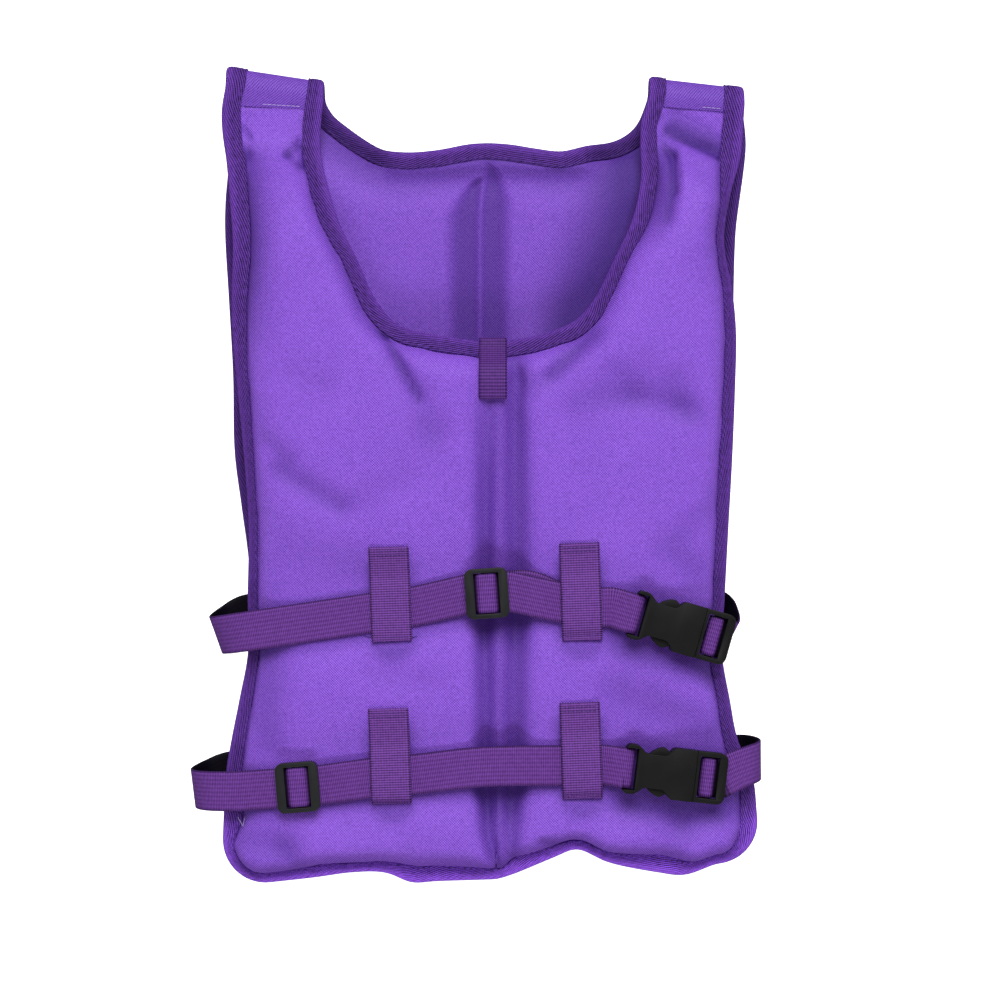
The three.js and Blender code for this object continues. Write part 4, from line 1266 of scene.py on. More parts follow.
@dataclass
class FrontPanel(Panel):
    """The front: two pads over the chest, a scoop neck and flat shoulder straps."""

    mid: float = 40.0
    droop: float = 4.0
    foam: float = 22.0
    puff: float = 5.5
    press_reach: float = 17.0
    valley_bed: float = 5.5
    bed_reach: float = 0.75
    valley_inside: float = 0.25
    valley_strays: Sequence[Ripple] = (Ripple(34.0, 1.0, 47.0, 1.2),)
    neck_angle: float = 0.6
    rim_rise: float = 0.3
    gathers: Sequence[Ripple] = (Ripple(6.5, 40.0, 3.0, 1.1), Ripple(15.0, 60.0, 5.0, 1.0))
    gather_reach: float = 11.0
    neck_start: float = 900.0
    rollings: Sequence[Ripple] = (Ripple(48.0, 40.0, 11.0, 0.9), Ripple(19.0, 23.0, 17.0, 0.25))

    # Plan heights over which the rim and the pads change
    neck_flattens: Plan = (130.0, 185.0)
    neck_narrows: Plan = (96.0, 130.0)
    hem_ends: Plan = (-236.0, -212.0)
    lift_ends: Plan = (-241.0, -215.0)
    straps_fall: Plan = (135.0, 226.0)

    # Shares of painted shade, and where they begin and end
    flank_shades: Plan = (0.55, 0.16)
    flank_reaches: Plan = (13.0, 14.0)
    flank_begins: Plan = (60.0, 130.0)
    flank_ends: Plan = (200.0, 218.0)
    left_neck_shade: float = 0.24
    left_neck_reach: float = 6.0
    left_neck_from: float = 84.0
    left_neck_ends: Plan = (130.0, 160.0)
    right_neck_shade: float = 0.48
    right_neck_reach: Plan = (9.0, 17.0)
    right_neck_from: float = 60.0
    right_neck_begins: Plan = (135.0, 170.0)
    right_neck_ends: Plan = (205.0, 216.0)
    fold_shade: float = 0.14
    dent_shade: float = 0.06
    valley_shade: float = 0.042
    valley_most: float = 0.46
    most_shade: float = 0.68
    belt_halo: Halo = Halo(0.38, 2.0, WEBBING_WIDTH / 2, 4.5)
    buckle_halo: Halo = Halo(0.55, 5.0, 17.0, 8.0)
    below_belts: Halo = Halo(0.9, 9.0, WEBBING_WIDTH / 2, 11.0)

    tilts: Sequence[tuple[float, float, float]] = (
        (-250, 0.0, 0.0), (-225, 0.1, 0.1), (-205, 0.3, 0.4), (110, 0.6, 0.6), (140, 0.3, 0.6),
        (172, 0.05, 0.6), (192, 0.0, 0.4), (206, 0.0, 0.0))
    side_shares: Sequence[tuple[float, float, float]] = (
        (-205, 1.0, 0.9), (-185, 0.85, 0.8), (-100, 0.55, 0.65), (0, 0.55, 0.8), (60, 0.75, 0.75),
        (110, 1.0, 0.65), (140, 0.95, 0.5), (172, 0.9, 0.5), (192, 0.9, 1.0))
    rolls: Sequence[Roll] = (
        Roll(-255, 13, 13, 18, 18), Roll(-236, 13, 12, 18, 18), Roll(-222, 15, 13, 18, 18),
        Roll(-205, 22, 24, 18, 18), Roll(-130, 24, 30, 18, 18), Roll(-60, 22, 26, 18, 18),
        Roll(0, 24, 20, 18, 18), Roll(84, 26, 18, 18, 18), Roll(110, 27, 17, 14, 20),
        Roll(140, 29, 15, 10, 26), Roll(170, 30, 13, 10, 28), Roll(200, 26, 12, 10, 22),
        Roll(220, 24, 12, 10, 18))
    hem_lifts: Sequence[Plan] = (
        (-100, 0), (-78, 1), (-56, 1), (-40, -3), (-26, -2), (14, -1), (24, 1),
        (50, 4), (64, 6), (84, 3), (118, -1), (131, -1))
    hem_shares: Sequence[Plan] = (
        (-156, 0.5), (-139, 0.42), (-121, 0.42), (-108, 0.47), (-96, 0.56), (-83, 0.46), (-70, 0.4),
        (-56, 0.5), (-49, 0.67), (-42, 0.83), (-36, 0.78), (-20, 0.72), (-3, 0.62), (14, 0.5), (19, 0.42),
        (27, 0.72), (38, 0.62), (50, 0.5), (60, 0.45), (70, 0.4), (78, 0.4), (97, 0.62), (115, 0.83),
        (132, 0.72), (140, 0.45), (144, 0.4), (157, 0.42), (165, 0.55), (174, 0.8))
    neck_shares: Plan = (0.86, 0.76)
    dents: Sequence[Crease] = (
        Crease(-59, 92, -36, 50, 2.6, 4), Crease(-50, 72, -24, 28, 2.2, 9), Crease(76, 88, 42, 58, 3, 7),
        Crease(28, 62, 36, 50, 1.6, 5), Crease(-132, 22, -116, 8, 3, 6), Crease(-124, 4, -82, -20, 3.5, 7),
        Crease(90, 62, 98, 52, 3, 9), Crease(80, 50, 136, 41, 1.8, 9), Crease(124, 58, 128, 44, 3, 10),
        Crease(122, -48, 138, -60, 3.5, 12), Crease(92, -136, 148, -160, 4.5, 15),
        Crease(-118, -48, -74, -58, 2.5, 15), Crease(130, -220, 124, -232, 2, 14),
        Crease(98, -207, 128, -218, 2, 8), Crease(128, -218, 150, -211, 2, 8),
        Crease(-131, -118, -131, -168, 5, 13), Crease(-146, -228, -119, -233, 4.5, 12),
        Crease(-119, -233, -110, -246, 3, 6), Crease(-64, -122, -30, -128, 1.5, 9))
    strap_folds: Sequence[Crease] = (
        Crease(-112, 211, -120, 203.5, 2.8, 2.8), Crease(-120, 203.5, -111, 196, 2.4, 2.6),
        Crease(-110, 208, -109, 195, 2.4, 4), Crease(-59, 91, -34, 47, 2.2, 3), Crease(74, 88, 48, 62, 2, 5),
        Crease(-149.3, 221.7, -143.6, 215.1, 1.8, 2.2), Crease(-146, 205, -145, 204, 2, 4),
        Crease(123, 220, 158, 201.5, 4.4, 4), Crease(128, 224, 160, 208, 3.4, 7),
        Crease(42, -228.5, 62, -233.5, 2.6, 3), Crease(118, 214, 126, 202, 2.6, 3),
        Crease(126, 202, 126, 178, 2.6, 3), Crease(126, 178, 122, 160, 1.6, 4),
        Crease(118, 212, 150, 197, -1.5, 3.5), Crease(130, 206, 132, 190, -2.2, 3),
        Crease(132, 190, 128, 162, -2, 4))

    # Shallow hollows of the chest that show only as painted shade: here a crease's depth is its share of
    # painted shade
    chest_shades: Sequence[Crease] = (
        Crease(64, 45, 84, 49, 0.17, 9), Crease(100, 50, 114, 51, 0.17, 9), Crease(128, 46, 138, 36, 0.17, 8),
        Crease(108, 74, 106, 66, 0.1, 9), Crease(150, -14, 132, -32, 0.16, 7),
        Crease(-34, 31, -26, 20, 0.13, 9), Crease(-44, 2, -70, -12, 0.11, 10),
        Crease(-112, 66, -94, 58, 0.1, 9), Crease(-122, 3, -84, -19, 0.12, 6))
    loop_lines: Sequence[Sequence[Plan]] = (
        ((-51, -98), (-52.5, -62)), ((67, -97), (65.5, -59)),
        ((-51, -199), (-52.5, -162)), ((67, -196), (65.5, -158)))
    belt_lines: Sequence[Sequence[Plan]] = (
        ((-140, -98), (-105, -92), (8, -74), (79, -82), (160, -104)),
        ((-160, -200), (-110, -194), (-38, -187), (53, -181), (175, -193)))
    buckle_lines: Sequence[Sequence[Plan]] = (((101, -87.5), (155, -103)), ((98, -183), (152, -189.6)))
    grooves: Sequence[Sequence[float]] = (
        (-252, 18, 5, 4, 27, 3, 5), (-240, 12.5, 6, 5, 24, 4, 6), (-225, 8.5, 6.5, 5.5, 23, 5, 7),
        (-195, 6.5, 6.5, 6, 25, 6, 8), (-75, 5.6, 6.5, 6, 27, 6.5, 8), (0, 5.6, 6, 6, 27, 6.5, 8),
        (35, 6.5, 3.5, 8, 25.5, 7, 7), (72, 8, 2, 9, 26, 6, 7))

    def tilt(self, y: Array, side: Side) -> Array:
        """Slope angle of the outer rim: steep at the hem and sides, flat on the shoulders."""
        heights, left, right = np.array(self.tilts).T
        return np.interp(y, heights, left if side is Side.LEFT else right)

    def neck_tilt(self, y: Array) -> Array:
        """Slope angle of the neck's rim: it rolls in round the scoop and lies flat on the shoulders."""
        return self.neck_angle * fall(y, *self.neck_flattens)

    def rim_share(self, edge: Array, side: Side | None) -> Array:
        """Share of the full rim width: uneven along the hem, narrower up the neck.

        Args:
            edge: Places of the edge.
            side: Half whose outer rim it is, or None for a neck.

        Returns:
            Shares.
        """
        if side is None:
            sides = np.where(edge[:, 0] < self.neck_centre[0], *self.neck_shares)
            return mix(1.0, sides, smoothstep(edge[:, 1], *self.neck_narrows))
        hem = np.interp(edge[:, 0], *np.array(self.hem_shares).T)
        heights, left, right = np.array(self.side_shares).T
        flank = np.interp(edge[:, 1], heights, left if side is Side.LEFT else right)
        return mix(hem, flank, smoothstep(edge[:, 1], *self.hem_ends))

    def painted_shading(self, at: Spots) -> Array:
        """Painted shade in the valley and folds, by belts and buckles, and where the straps fall away to
        their tapes.

        Args:
            at: Places on the foam.

        Returns:
            Shares of painted shade.
        """
        x, y, outside, neck = at
        left = x < 0.0
        share, reach = (np.where(left, *pair) for pair in (self.flank_shades, self.flank_reaches))
        flank = share * bell(outside.away, reach)
        flank = flank * smoothstep(y, *self.flank_begins) * fall(y, *self.flank_ends)
        right_neck = self.right_neck_shade * fall(neck.away, *self.right_neck_reach)
        right_neck = right_neck * (x > self.right_neck_from)
        right_neck = right_neck * smoothstep(y, *self.right_neck_begins) * fall(y, *self.right_neck_ends)
        left_neck = self.left_neck_shade * bell(neck.away, self.left_neck_reach) * left
        left_neck = left_neck * fall(y, *self.left_neck_ends) * (y > self.left_neck_from)
        folds = self.fold_shade * np.maximum(crease_depth(self.strap_folds, x, y), 0.0)
        dents = self.dent_shade * np.maximum(crease_depth(self.dents, x, y), 0.0)
        halo = np.maximum(shade_by((*self.belt_lines, *self.loop_lines), x, y, self.belt_halo),
                          shade_by(self.buckle_lines, x, y, self.buckle_halo))
        valley = np.clip(self.valley(x, y) * self.valley_shade, 0.0, self.valley_most)
        valley = valley * (1.0 + shade_by(self.belt_lines, x, y, self.below_belts))
        shades = (valley, np.maximum(flank, right_neck), left_neck, folds, dents,
                  crease_depth(self.chest_shades, x, y), halo)
        return np.clip(sum(shades), 0.0, self.most_shade)

    def middle(self, x: Array, y: Array, swell: Array) -> Array:
        """Height of the middle surface.

        Args:
            x: Plan places.
            y: Plan places.
            swell: How far the foam has swelled there.

        Returns:
            Heights.
        """
        xs, lifts = zip(*self.hem_lifts)
        lift = fall(y, *self.lift_ends) * np.interp(x, xs, lifts, 0.0, 0.0)
        chest = self.mid + arch(x) - self.droop * (1.0 - swell) + lift
        return mix(chest, FRONT_STRAP_Z, smoothstep(y, *self.straps_fall))

    def rim_middle(self, x: Array, y: Array) -> Array:
        """Height of the rim's middle at its inset."""
        return self.middle(x, y, np.zeros(np.shape(x)))

    def valley(self, x: Array, y: Array) -> Array:
        """Depth of the sewn valley between the pads: two grooves with the ridge of the seam between them.

        Args:
            x: Plan places.
            y: Plan places.

        Returns:
            Depth below the pads.
        """
        table = np.array(self.grooves)
        left_x, left_deep, left_wide, right_x, right_deep, right_wide = (
            np.interp(y, table[:, 0], column) for column in table.T[1:])
        stray = rippled(self.valley_strays, y, np.zeros(np.shape(y)))
        left = left_deep * bell(x - left_x - stray, left_wide)
        right = right_deep * bell(x - right_x + stray, right_wide)
        middle, reach = (left_x + right_x) / 2, (right_x - left_x) * self.bed_reach
        return left + right + self.valley_bed * np.exp(-(((x - middle) / reach) ** 4))

    def faces(self, at: Spots) -> tuple[Array, Array]:
        """Heights of the outer and inner face over the foam, with creases, puckers and pressed belts.

        Args:
            at: Places on the foam.

        Returns:
            The two heights.
        """
        x, y, outside, neck = at
        swell = self.swell(at)
        rim = self.half_thickness(y)
        half = rim + (self.foam / 2 - rim) * swell
        middle = self.middle(x, y, swell) + (outside.rise + neck.rise) * (1.0 - swell)
        off_belts = np.maximum(off_lines(self.belt_lines, x, y) - WEBBING_WIDTH / 2, 0.0)
        press = 1.0 - bell(off_belts, self.press_reach)
        valley = self.valley(x, y)
        relief = self.puff * press - crease_depth(self.dents, x, y) - valley
        relief = relief + rippled(self.rollings, x, y) * press
        outer = middle + half + swell * relief + self.gathered(at) - crease_depth(self.strap_folds, x, y)
        return outer, middle - half + self.valley_inside * swell * valley

    def surface(self, places: Sequence[Plan]) -> Array:
        """Height of the outer face at plan places."""
        x, y = np.array(places, dtype=float).T
        return self.faces(self.spots(x, y))[0]


@dataclass
class BackPanel(Panel):
    """The back: it lies on the ground, and its straps fold over on to the front."""

    foam: float = 20.0
    gathers: Sequence[Ripple] = (Ripple(7.0, 40.0, 23.0, 1.1),)
    neck_start: float = 700.0
    rollings: Sequence[Ripple] = (Ripple(44.0, 36.0, 29.0, 0.8),)
    rolls: Sequence[Roll] = (Roll(150, 26, 26, 30, 30), Roll(200, 22, 22, 34, 34))

    # The sewn valley: its troughs left and right of the seam
    valley_x: float = 2.9
    valley_drift: float = 3.4
    valley_drifts: Plan = (160.0, 205.0)
    valley_deep: float = 4.5
    valley_halves: Plan = (21.0, 19.0)
    valley_tops: Plan = (191.0, 200.0)
    valley_point: float = 27.0
    valley_least: float = 0.1
    valley_full: float = 8.0
    trough_sides: Plan = (0.55, 1.2)
    ridge: float = 2.4
    ridge_share: float = 0.45
    seam_groove: float = 2.2
    seam_wide: float = 5.0

    # The neck, which stands up a little, and the furrows that the belts press from below
    neck_rise: float = 11.0
    neck_stands: Plan = (185.0, 198.0)
    neck_middle: float = 8.0
    neck_ends: Plan = (55.0, 80.0)
    neck_dip: float = 1.6
    dip_inset: float = 13.0
    dip_wide: float = 10.0
    neck_share_of_width: float = 0.78
    furrows: Sequence[Sequence[Plan]] = (
        ((-149, -88), (160, -87)), ((-161.5, -191), (-140, -188.6), (174.5, -180)))
    furrow_deep: float = 2.2
    furrow_sides: Plan = (13.0, 17.0)

    # Shares of painted shade, and where they begin and end
    least_shade: float = 0.1
    most_shade: float = 0.75
    cover_shade: float = 0.7
    cover_edge: Sequence[Plan] = ((40, 84), (64.6, 97), (76.5, 111), (88.5, 135), (101, 163), (106, 200))
    cover_reach: Plan = (2.0, 56.0)
    cover_begins: Plan = (26.0, 62.0)
    scoop_shade: float = 0.08
    scoop_ends: Plan = (95.0, 160.0)
    tape_shade: float = 0.4
    tape_reach: float = 24.0
    valley_shade: float = 0.5
    flap_shade: float = 0.3

    # The straps that fold over on to the front
    fold_steps: int = 14
    flap_rows: int = 7
    flap_last: float = 0.97
    flap_sag: float = 0.28
    flap_edge: dict[Side, float] = field(default_factory=lambda: {Side.LEFT: 0.1, Side.RIGHT: 0.7})

    def rim_middle(self, x: Array, y: Array) -> Array:
        """Height of the rim's middle at its inset: it stands up a little round the neck."""
        around = smoothstep(y, *self.neck_stands) * fall(np.abs(x - self.neck_middle), *self.neck_ends)
        return BACK_RIM_Z + self.neck_rise * around

    def valley(self, x: Array, y: Array) -> Array:
        """Depth of the sewn valley: two troughs that meet at the neck, with the seam's ridge between them.

        Args:
            x: Plan places.
            y: Plan places.

        Returns:
            Depth below the pads.
        """
        offset = x - self.valley_x - self.valley_drift * smoothstep(y, *self.valley_drifts)
        half, top = (np.where(offset < 0, *pair) for pair in (self.valley_halves, self.valley_tops))
        half = np.maximum(half * np.sqrt(np.clip((top - y) / self.valley_point, 0.0, 1.0)), self.valley_least)
        trough = fall(np.abs(offset) / half, *self.trough_sides)
        trough = trough * smoothstep(half, self.valley_least, self.valley_full)
        return self.valley_deep * trough * (1.0 - self.ridge_share * bell(offset, self.ridge))

    def rim_share(self, edge: Array, side: Side | None) -> Array:
        """Share of the full rim width: narrower round the neck."""
        return np.full(len(edge), 1.0 if side else self.neck_share_of_width)

    def painted_shading(self, at: Spots) -> Array:
        """Painted shade inside the vest: in the valley, below the neck tape and below the neck edges of the
        front.

        Args:
            at: Places on the foam.

        Returns:
            Shares of painted shade.
        """
        x, y, _, neck = at
        cover = fall(off_lines([self.cover_edge], x, y), *self.cover_reach)
        cover = cover * smoothstep(x, *self.cover_begins)
        shades = (self.cover_shade * cover, self.scoop_shade * fall(y, *self.scoop_ends),
                  self.tape_shade * fall(neck.away, 0.0, self.tape_reach),
                  self.valley_shade * self.valley(x, y) / self.valley_deep)
        return np.clip(self.least_shade + np.max(shades, axis=0), 0.0, self.most_shade)

    def faces(self, at: Spots) -> tuple[Array, Array]:
        """Heights of the face on the ground and of the face towards the body.

        Args:
            at: Places on the foam.

        Returns:
            The two heights, the one on the ground first.
        """
        x, y, _, neck = at
        swell = self.swell(at)
        half = self.half_thickness(y)
        rim = self.rim_middle(x, y)
        dip = self.neck_dip * bell(neck.away - self.dip_inset, self.dip_wide)
        inner = rim + half + (self.foam - rim - half) * swell
        inner = inner + swell * (rippled(self.rollings, x, y) - self.valley(x, y) - dip) + self.gathered(at)
        seam = self.seam_groove * bell(x - self.valley_x, self.seam_wide)
        pressed = self.furrow_deep * fall(off_lines(self.furrows, x, y), *self.furrow_sides)
        return (rim - half) * (1.0 - swell) + swell * np.maximum(seam, pressed), inner

    def fold(self, wall: Wall, top: tuple[Array, Array], side: Side) -> None:
        """Adds one shoulder strap: over the fold, then the flap down to its seam.

        Args:
            wall: The panel's wall.
            top: Points of its two faces along the fold.
            side: Which shoulder.
        """
        shoulder = SHOULDERS[side]
        x = top[0][:, 0]
        fold_y, seam_y = shoulder.line(x, True), shoulder.line(x, False)
        rows = [top]
        travel = [top[0][:, 1]]
        for angle in np.linspace(0.0, math.pi, self.fold_steps + 1)[1:]:
            rows.append(tuple(np.column_stack([
                x, fold_y + (FOLD_REACH + lift) * math.sin(angle),
                np.full(len(x), BACK_RIM_Z + FOLD_RADIUS - (FOLD_RADIUS + lift) * math.cos(angle))])
                for lift in (CLOTH / 2, -CLOTH / 2)))
            travel.append(fold_y + FOLD_RADIUS * angle)
        for share in (*np.linspace(0.0, self.flap_last, self.flap_rows)[1:], 1.0):
            y = mix(fold_y, seam_y, share)
            low = FLAP_Z - CLOTH / 2 - self.flap_sag * share**3
            rows.append(tuple(np.column_stack([x, y, np.full(len(x), low + thick)])
                              for thick in (mix(CLOTH, self.flap_edge[side], share), 0.0)))
            travel.append(fold_y + FOLD_RADIUS * math.pi + (fold_y - y))
        outer, inner = (np.stack([row[part] for row in rows]) for part in (0, 1))
        uv = np.stack([np.column_stack([x, run]) for run in travel])
        # The flap takes an even share of painted shade
        wall.add(outer, inner, uv, side is Side.LEFT, np.full(outer.shape[:2], self.flap_shade))


class Piece:
    """Last steps that every piece shares."""

    @staticmethod
    def settle(obj: bpy.types.Object, slot: Slot, *nodes: str, fill: float | None = None) -> bpy.types.Object:
        """Parents a finished piece to the root body, hides the CAD parts that it stands for and logs its
        faces.

        Args:
            obj: The piece.
            slot: Material slot of its finish; not used.
            nodes: CAD nodes that it stands for.
            fill: How full a padded piece is, or None; not used.

        Returns:
            The same piece.
        """
        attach(obj, "root")
        if nodes:
            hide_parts(*nodes)
        LOG.info("%s: %d faces", obj.name, len(obj.data.polygons))
        return obj


class Ring(NamedTuple):
    """A ring of a stitch: its share of the length, its share of the radius and its height in radii."""

    share: float
    swell: float
    lift: float


@dataclass
class Stitches:
    """Rows of sewing thread, joined into one piece."""

    pitch: float = 3.3
    stitch: float = 2.5
    radius: float = 0.28
    sides: int = 5
    rings: Sequence[Ring] = (
        Ring(0.0, 0.45, -0.6), Ring(0.25, 1.0, 0.35), Ring(0.75, 1.0, 0.35), Ring(1.0, 0.45, -0.6))
    points: list[Array] = field(default_factory=list)
    faces: list[list[int]] = field(default_factory=list)
    uv: list[Array] = field(default_factory=list)

    def bar(self, start: Array, end: Array, up: Array) -> None:
        """One stitch, half sunk into the cloth.

        Args:
            start: Where the thread comes up.
            end: Where it goes down.
            up: Direction out of the cloth.
        """
        along = end - start
        across = np.cross(up, along)
        across /= np.linalg.norm(across)
        n, last = self.sides, len(self.rings) - 1
        first = len(self.points) * n
        angles = np.arange(n) * 2 * math.pi / n
        circle = np.outer(np.cos(angles), across) + np.outer(np.sin(angles), up)
        for ring in self.rings:
            centre = start + along * ring.share + up * self.radius * ring.lift
            self.points.append(centre + circle * self.radius * ring.swell)
            self.uv.append(np.column_stack([np.full(n, ring.share * self.stitch), angles]) * MM)
        for r in range(last):
            for k in range(n):
                a, b = first + r * n + k, first + r * n + (k + 1) % n
                self.faces.append([a, b, b + n, a + n])
        self.faces.append([first + k for k in reversed(range(n))])
        self.faces.append([first + last * n + k for k in range(n)])

    def row(self, line: Array, ups: Array) -> None:
        """A row of stitches along a line in space.

        Args:
            line: Points of the line.
            ups: Direction out of the cloth, one for all points or one for each.
        """
        lengths = lengths_along(line)
        ups = np.broadcast_to(ups, line.shape)

        def pick(at: float, table: Array) -> Array:
            """A table's row at a length along the line."""
            return np.array([np.interp(at, lengths, column) for column in table.T])

        for start in np.arange(self.pitch / 2, lengths[-1] - self.stitch, self.pitch):
            up = pick(start, ups)
            self.bar(pick(start, line), pick(start + self.stitch, line), up / np.linalg.norm(up))

    def build(self, name: str, finish: bpy.types.Material, slot: Slot) -> bpy.types.Object:
        """Makes the piece of all rows so far.

        Args:
            name: Name of the piece.
            finish: Its thread.
            slot: Material slot of what it is sewn to.

        Returns:
            The finished piece.
        """
        obj = Mesher.from_faces(name, np.vstack(self.points), self.faces, np.vstack(self.uv), finish)
        Mesher.face_out(obj)
        return Piece.settle(obj, slot)


@dataclass
class Binding:
    """Twill tape folded round a whole edge of the vest and sewn through."""

    name: str
    around_neck: bool
    upper: Sequence[Plan] = (
        (12.3, 1.9), (12.15, 2.3), (11.6, 2.45), (10.6, 2.1), (9.4, 2.45), (5.0, 2.55), (2.2, 2.45),
        (0.6, 2.107), (-0.6, 1.225))
    lip: float = -1.1
    lining: Sequence[Plan] = ((12.3, 1.55), (5.0, 1.75), (0.9, 1.75), (-0.3, 0.98))
    closing: float = 1.0
    half: float = 2.45
    seam_inset: float = 10.6
    seam_dip: float = 0.35
    step: float = 2.4
    smoothings: int = 2
    fold_steps: int = 12
    lap_from: float = -9.0
    flat_from: float = 1.0
    wavers: Sequence[Ripple] = (Ripple(9.0, 1.0, 41.0, 0.42),)
    waver_from: float = 4.0

    # Painted light makes the tape pale along the hem, less so at its corners, and painted shade makes it
    # darker on the back
    even_level: float = 0.5
    hem_ends: Plan = (-232.0, -205.0)
    corner_level: float = 0.45
    corner_middle: float = 10.0
    corner_begins: Plan = (138.0, 158.0)
    back_shade: float = 0.2
    back_ends: Plan = (8.0, 18.0)

    def profile(self) -> Array:
        """Cross-section of the tape as (inward, normal, length) rows, round the outside and back inside.

        Returns:
            Points of the closed section.
        """
        upper, lining = np.array(self.upper), np.array(self.lining)
        lower = upper * (1.0, -1.0)
        section = np.vstack([upper, (self.lip, 0.0), lower[::-1], lining * (1.0, -1.0), lining[::-1]])
        return np.column_stack([section, lengths_along(section)])

    def stations(self, front: FrontPanel, back: BackPanel) -> tuple[Array, Array]:
        """Edge and inset points of the loop: front left, over the shoulder, back, and up the right.

        Args:
            front: The front panel.
            back: The back panel.

        Returns:
            Edge points and inset points.
        """
        def lines(panel: Panel, side: Side) -> list[Array]:
            """Edge and inset of one half.

            Args:
                panel: The panel.
                side: Which half.

            Returns:
                Points from the centre to the shoulder.
            """
            half = panel.half(side)
            if self.around_neck:
                return list(panel.rim_stations(half.neck))
            hem, flank = panel.rim_stations(half.hem), panel.rim_stations(half.flank)
            return [np.vstack([hem[part], flank[part][1:]]) for part in (0, 1)]

        def fold(ahead: list[Array], behind: list[Array]) -> list[Array]:
            """Stations over a shoulder.

            Args:
                ahead: Edge and inset of the front.
                behind: Edge and inset of the back.

            Returns:
                Edge and inset from the front strap to the back strap.
            """
            middle = (LAP_TAPE_Z + BACK_RIM_Z) / 2
            turned = []
            for part in (0, 1):
                start, end = ahead[part][-1].copy(), behind[part][-1]
                start[2] = LAP_TAPE_Z
                rows = [start]
                for angle in np.linspace(0.0, math.pi, self.fold_steps + 1)[1:-1]:
                    rows.append((end[0], end[1] + FOLD_REACH * math.sin(angle),
                                 middle + (LAP_TAPE_Z - middle) * math.cos(angle)))
                turned.append(np.array(rows))
            return turned

        def raised(points: Array, side: Side) -> Array:
            """Front stations, lifted on to the lap near the seam."""
            near = smoothstep(points[:, 1] - SHOULDERS[side].line(points[:, 0], False), self.lap_from, 0.0)
            return points + np.outer(near * (LAP_TAPE_Z - FRONT_STRAP_Z), UP)

        halves = {side: (lines(front, side), lines(back, side)) for side in Side}
        folds = {side: fold(*halves[side]) for side in Side}
        (left_front, left_back), (right_front, right_back) = halves[Side.LEFT], halves[Side.RIGHT]
        edge, inset = (
            np.vstack([raised(left_front[part][:-1], Side.LEFT), folds[Side.LEFT][part],
                       left_back[part][::-1], right_back[part][1:], folds[Side.RIGHT][part][::-1],
                       raised(right_front[part][1:-1], Side.RIGHT)[::-1]])
            for part in (0, 1))
        return edge, inset

    def frames(self, front: FrontPanel, back: BackPanel) -> tuple[Array, Array, Array, Array, Array]:
        """Even stations round the loop.

        Args:
            front: The front panel.
            back: The back panel.

        Returns:
            Edge points, inward directions, normals out of the vest, lengths round the loop and shares of the
            width.
        """
        edge, inset = self.stations(front, back)
        closed = np.vstack([edge, edge[:1]])
        lengths = lengths_along(closed)
        at = np.linspace(0.0, lengths[-1], int(lengths[-1] / self.step), endpoint=False)
        both = np.hstack([closed, np.vstack([inset, inset[:1]])])
        even = np.stack([np.interp(at, lengths, column) for column in both.T], axis=1)
        edge, inset = even[:, :3], even[:, 3:]
        for _ in range(self.smoothings):
            edge = (np.roll(edge, 1, 0) + 2 * edge + np.roll(edge, -1, 0)) / 4
            inset = (np.roll(inset, 1, 0) + 2 * inset + np.roll(inset, -1, 0)) / 4
        inward = inset - edge
        width = np.linalg.norm(inward, axis=1, keepdims=True)
        inward /= width
        normal = np.cross(np.roll(edge, -1, 0) - np.roll(edge, 1, 0), inward)
        normal /= np.linalg.norm(normal, axis=1, keepdims=True)
        return edge, inward, normal, at, width / RIM_WIDTH

    def build(self, front: FrontPanel, back: BackPanel, finishes: Finishes) -> list[bpy.types.Object]:
        """Makes the tape and its two rows of stitches.

        Args:
            front: The front panel.
            back: The back panel.
            finishes: The vest's finishes.

        Returns:
            The tape and the stitches.
        """
        edge, inward, normal, at, share = self.frames(front, back)
        section = self.profile()
        waver = rippled(self.wavers, at, np.zeros(len(at)))
        inset = section[None, :, 0]
        reach = np.where(inset > self.flat_from, inset * share, inset)
        reach = reach + waver[:, None] * (inset > self.waver_from)
        points = edge[:, None] + inward[:, None] * reach[:, :, None] + normal[:, None] * section[None, :, 1:2]
        count, size = len(edge), len(section)
        index = np.arange(count * size).reshape(count, size)
        nxt = np.roll(index, -1, 0)
        faces = np.stack([index, nxt, np.roll(nxt, -1, 1), np.roll(index, -1, 1)], axis=-1).reshape(-1, 4)
        pitch = at[1] - at[0]
        girth = np.append(section[1:, 2], section[-1, 2] + self.closing)
        here = np.broadcast_to(at[:, None], (count, size))
        low = np.broadcast_to(section[None, :, 2], (count, size))
        high = np.broadcast_to(girth[None], (count, size))
        corners = [(here, low), (here + pitch, low), (here + pitch, high), (here, high)]
        uv = np.stack([np.stack(pair, axis=-1) for pair in corners], axis=2).reshape(-1, 2) * MM
        tape = Mesher.from_faces(self.name, points.reshape(-1, 3), faces.tolist(), uv, finishes.tape)
        x, y, z = edge.T
        # Painted light pales the tape along the hem and less at its corners; painted shade darkens it on the
        # back
        corner = self.corner_level * smoothstep(np.abs(x - self.corner_middle), *self.corner_begins)
        shade = self.even_level * np.maximum(corner, smoothstep(y, *self.hem_ends))
        shade = shade + self.back_shade * fall(z, *self.back_ends)
        Mesher.mark_painted_shading(tape, np.repeat(shade, size))
        Mesher.face_out(tape)
        stitches = Stitches()
        for turn in (1.0, -1.0):
            line = edge + inward * self.seam_inset * share + normal * turn * (self.half - self.seam_dip)
            stitches.row(np.vstack([line, line[:1]]), np.vstack([normal, normal[:1]]) * turn)
        seam = stitches.build(f"{self.name}_stitches", finishes.seam, Slot.TAPE)
        return [Piece.settle(tape, Slot.TAPE, self.name), seam]


class Station(NamedTuple):
    """A place on a band: centre, direction across, and shares of painted shade on its inside and where it is
    sunk.
    """

    centre: Vector
    across: Vector
    painted_shading: float = 0.0
    sunk: float = 0.0


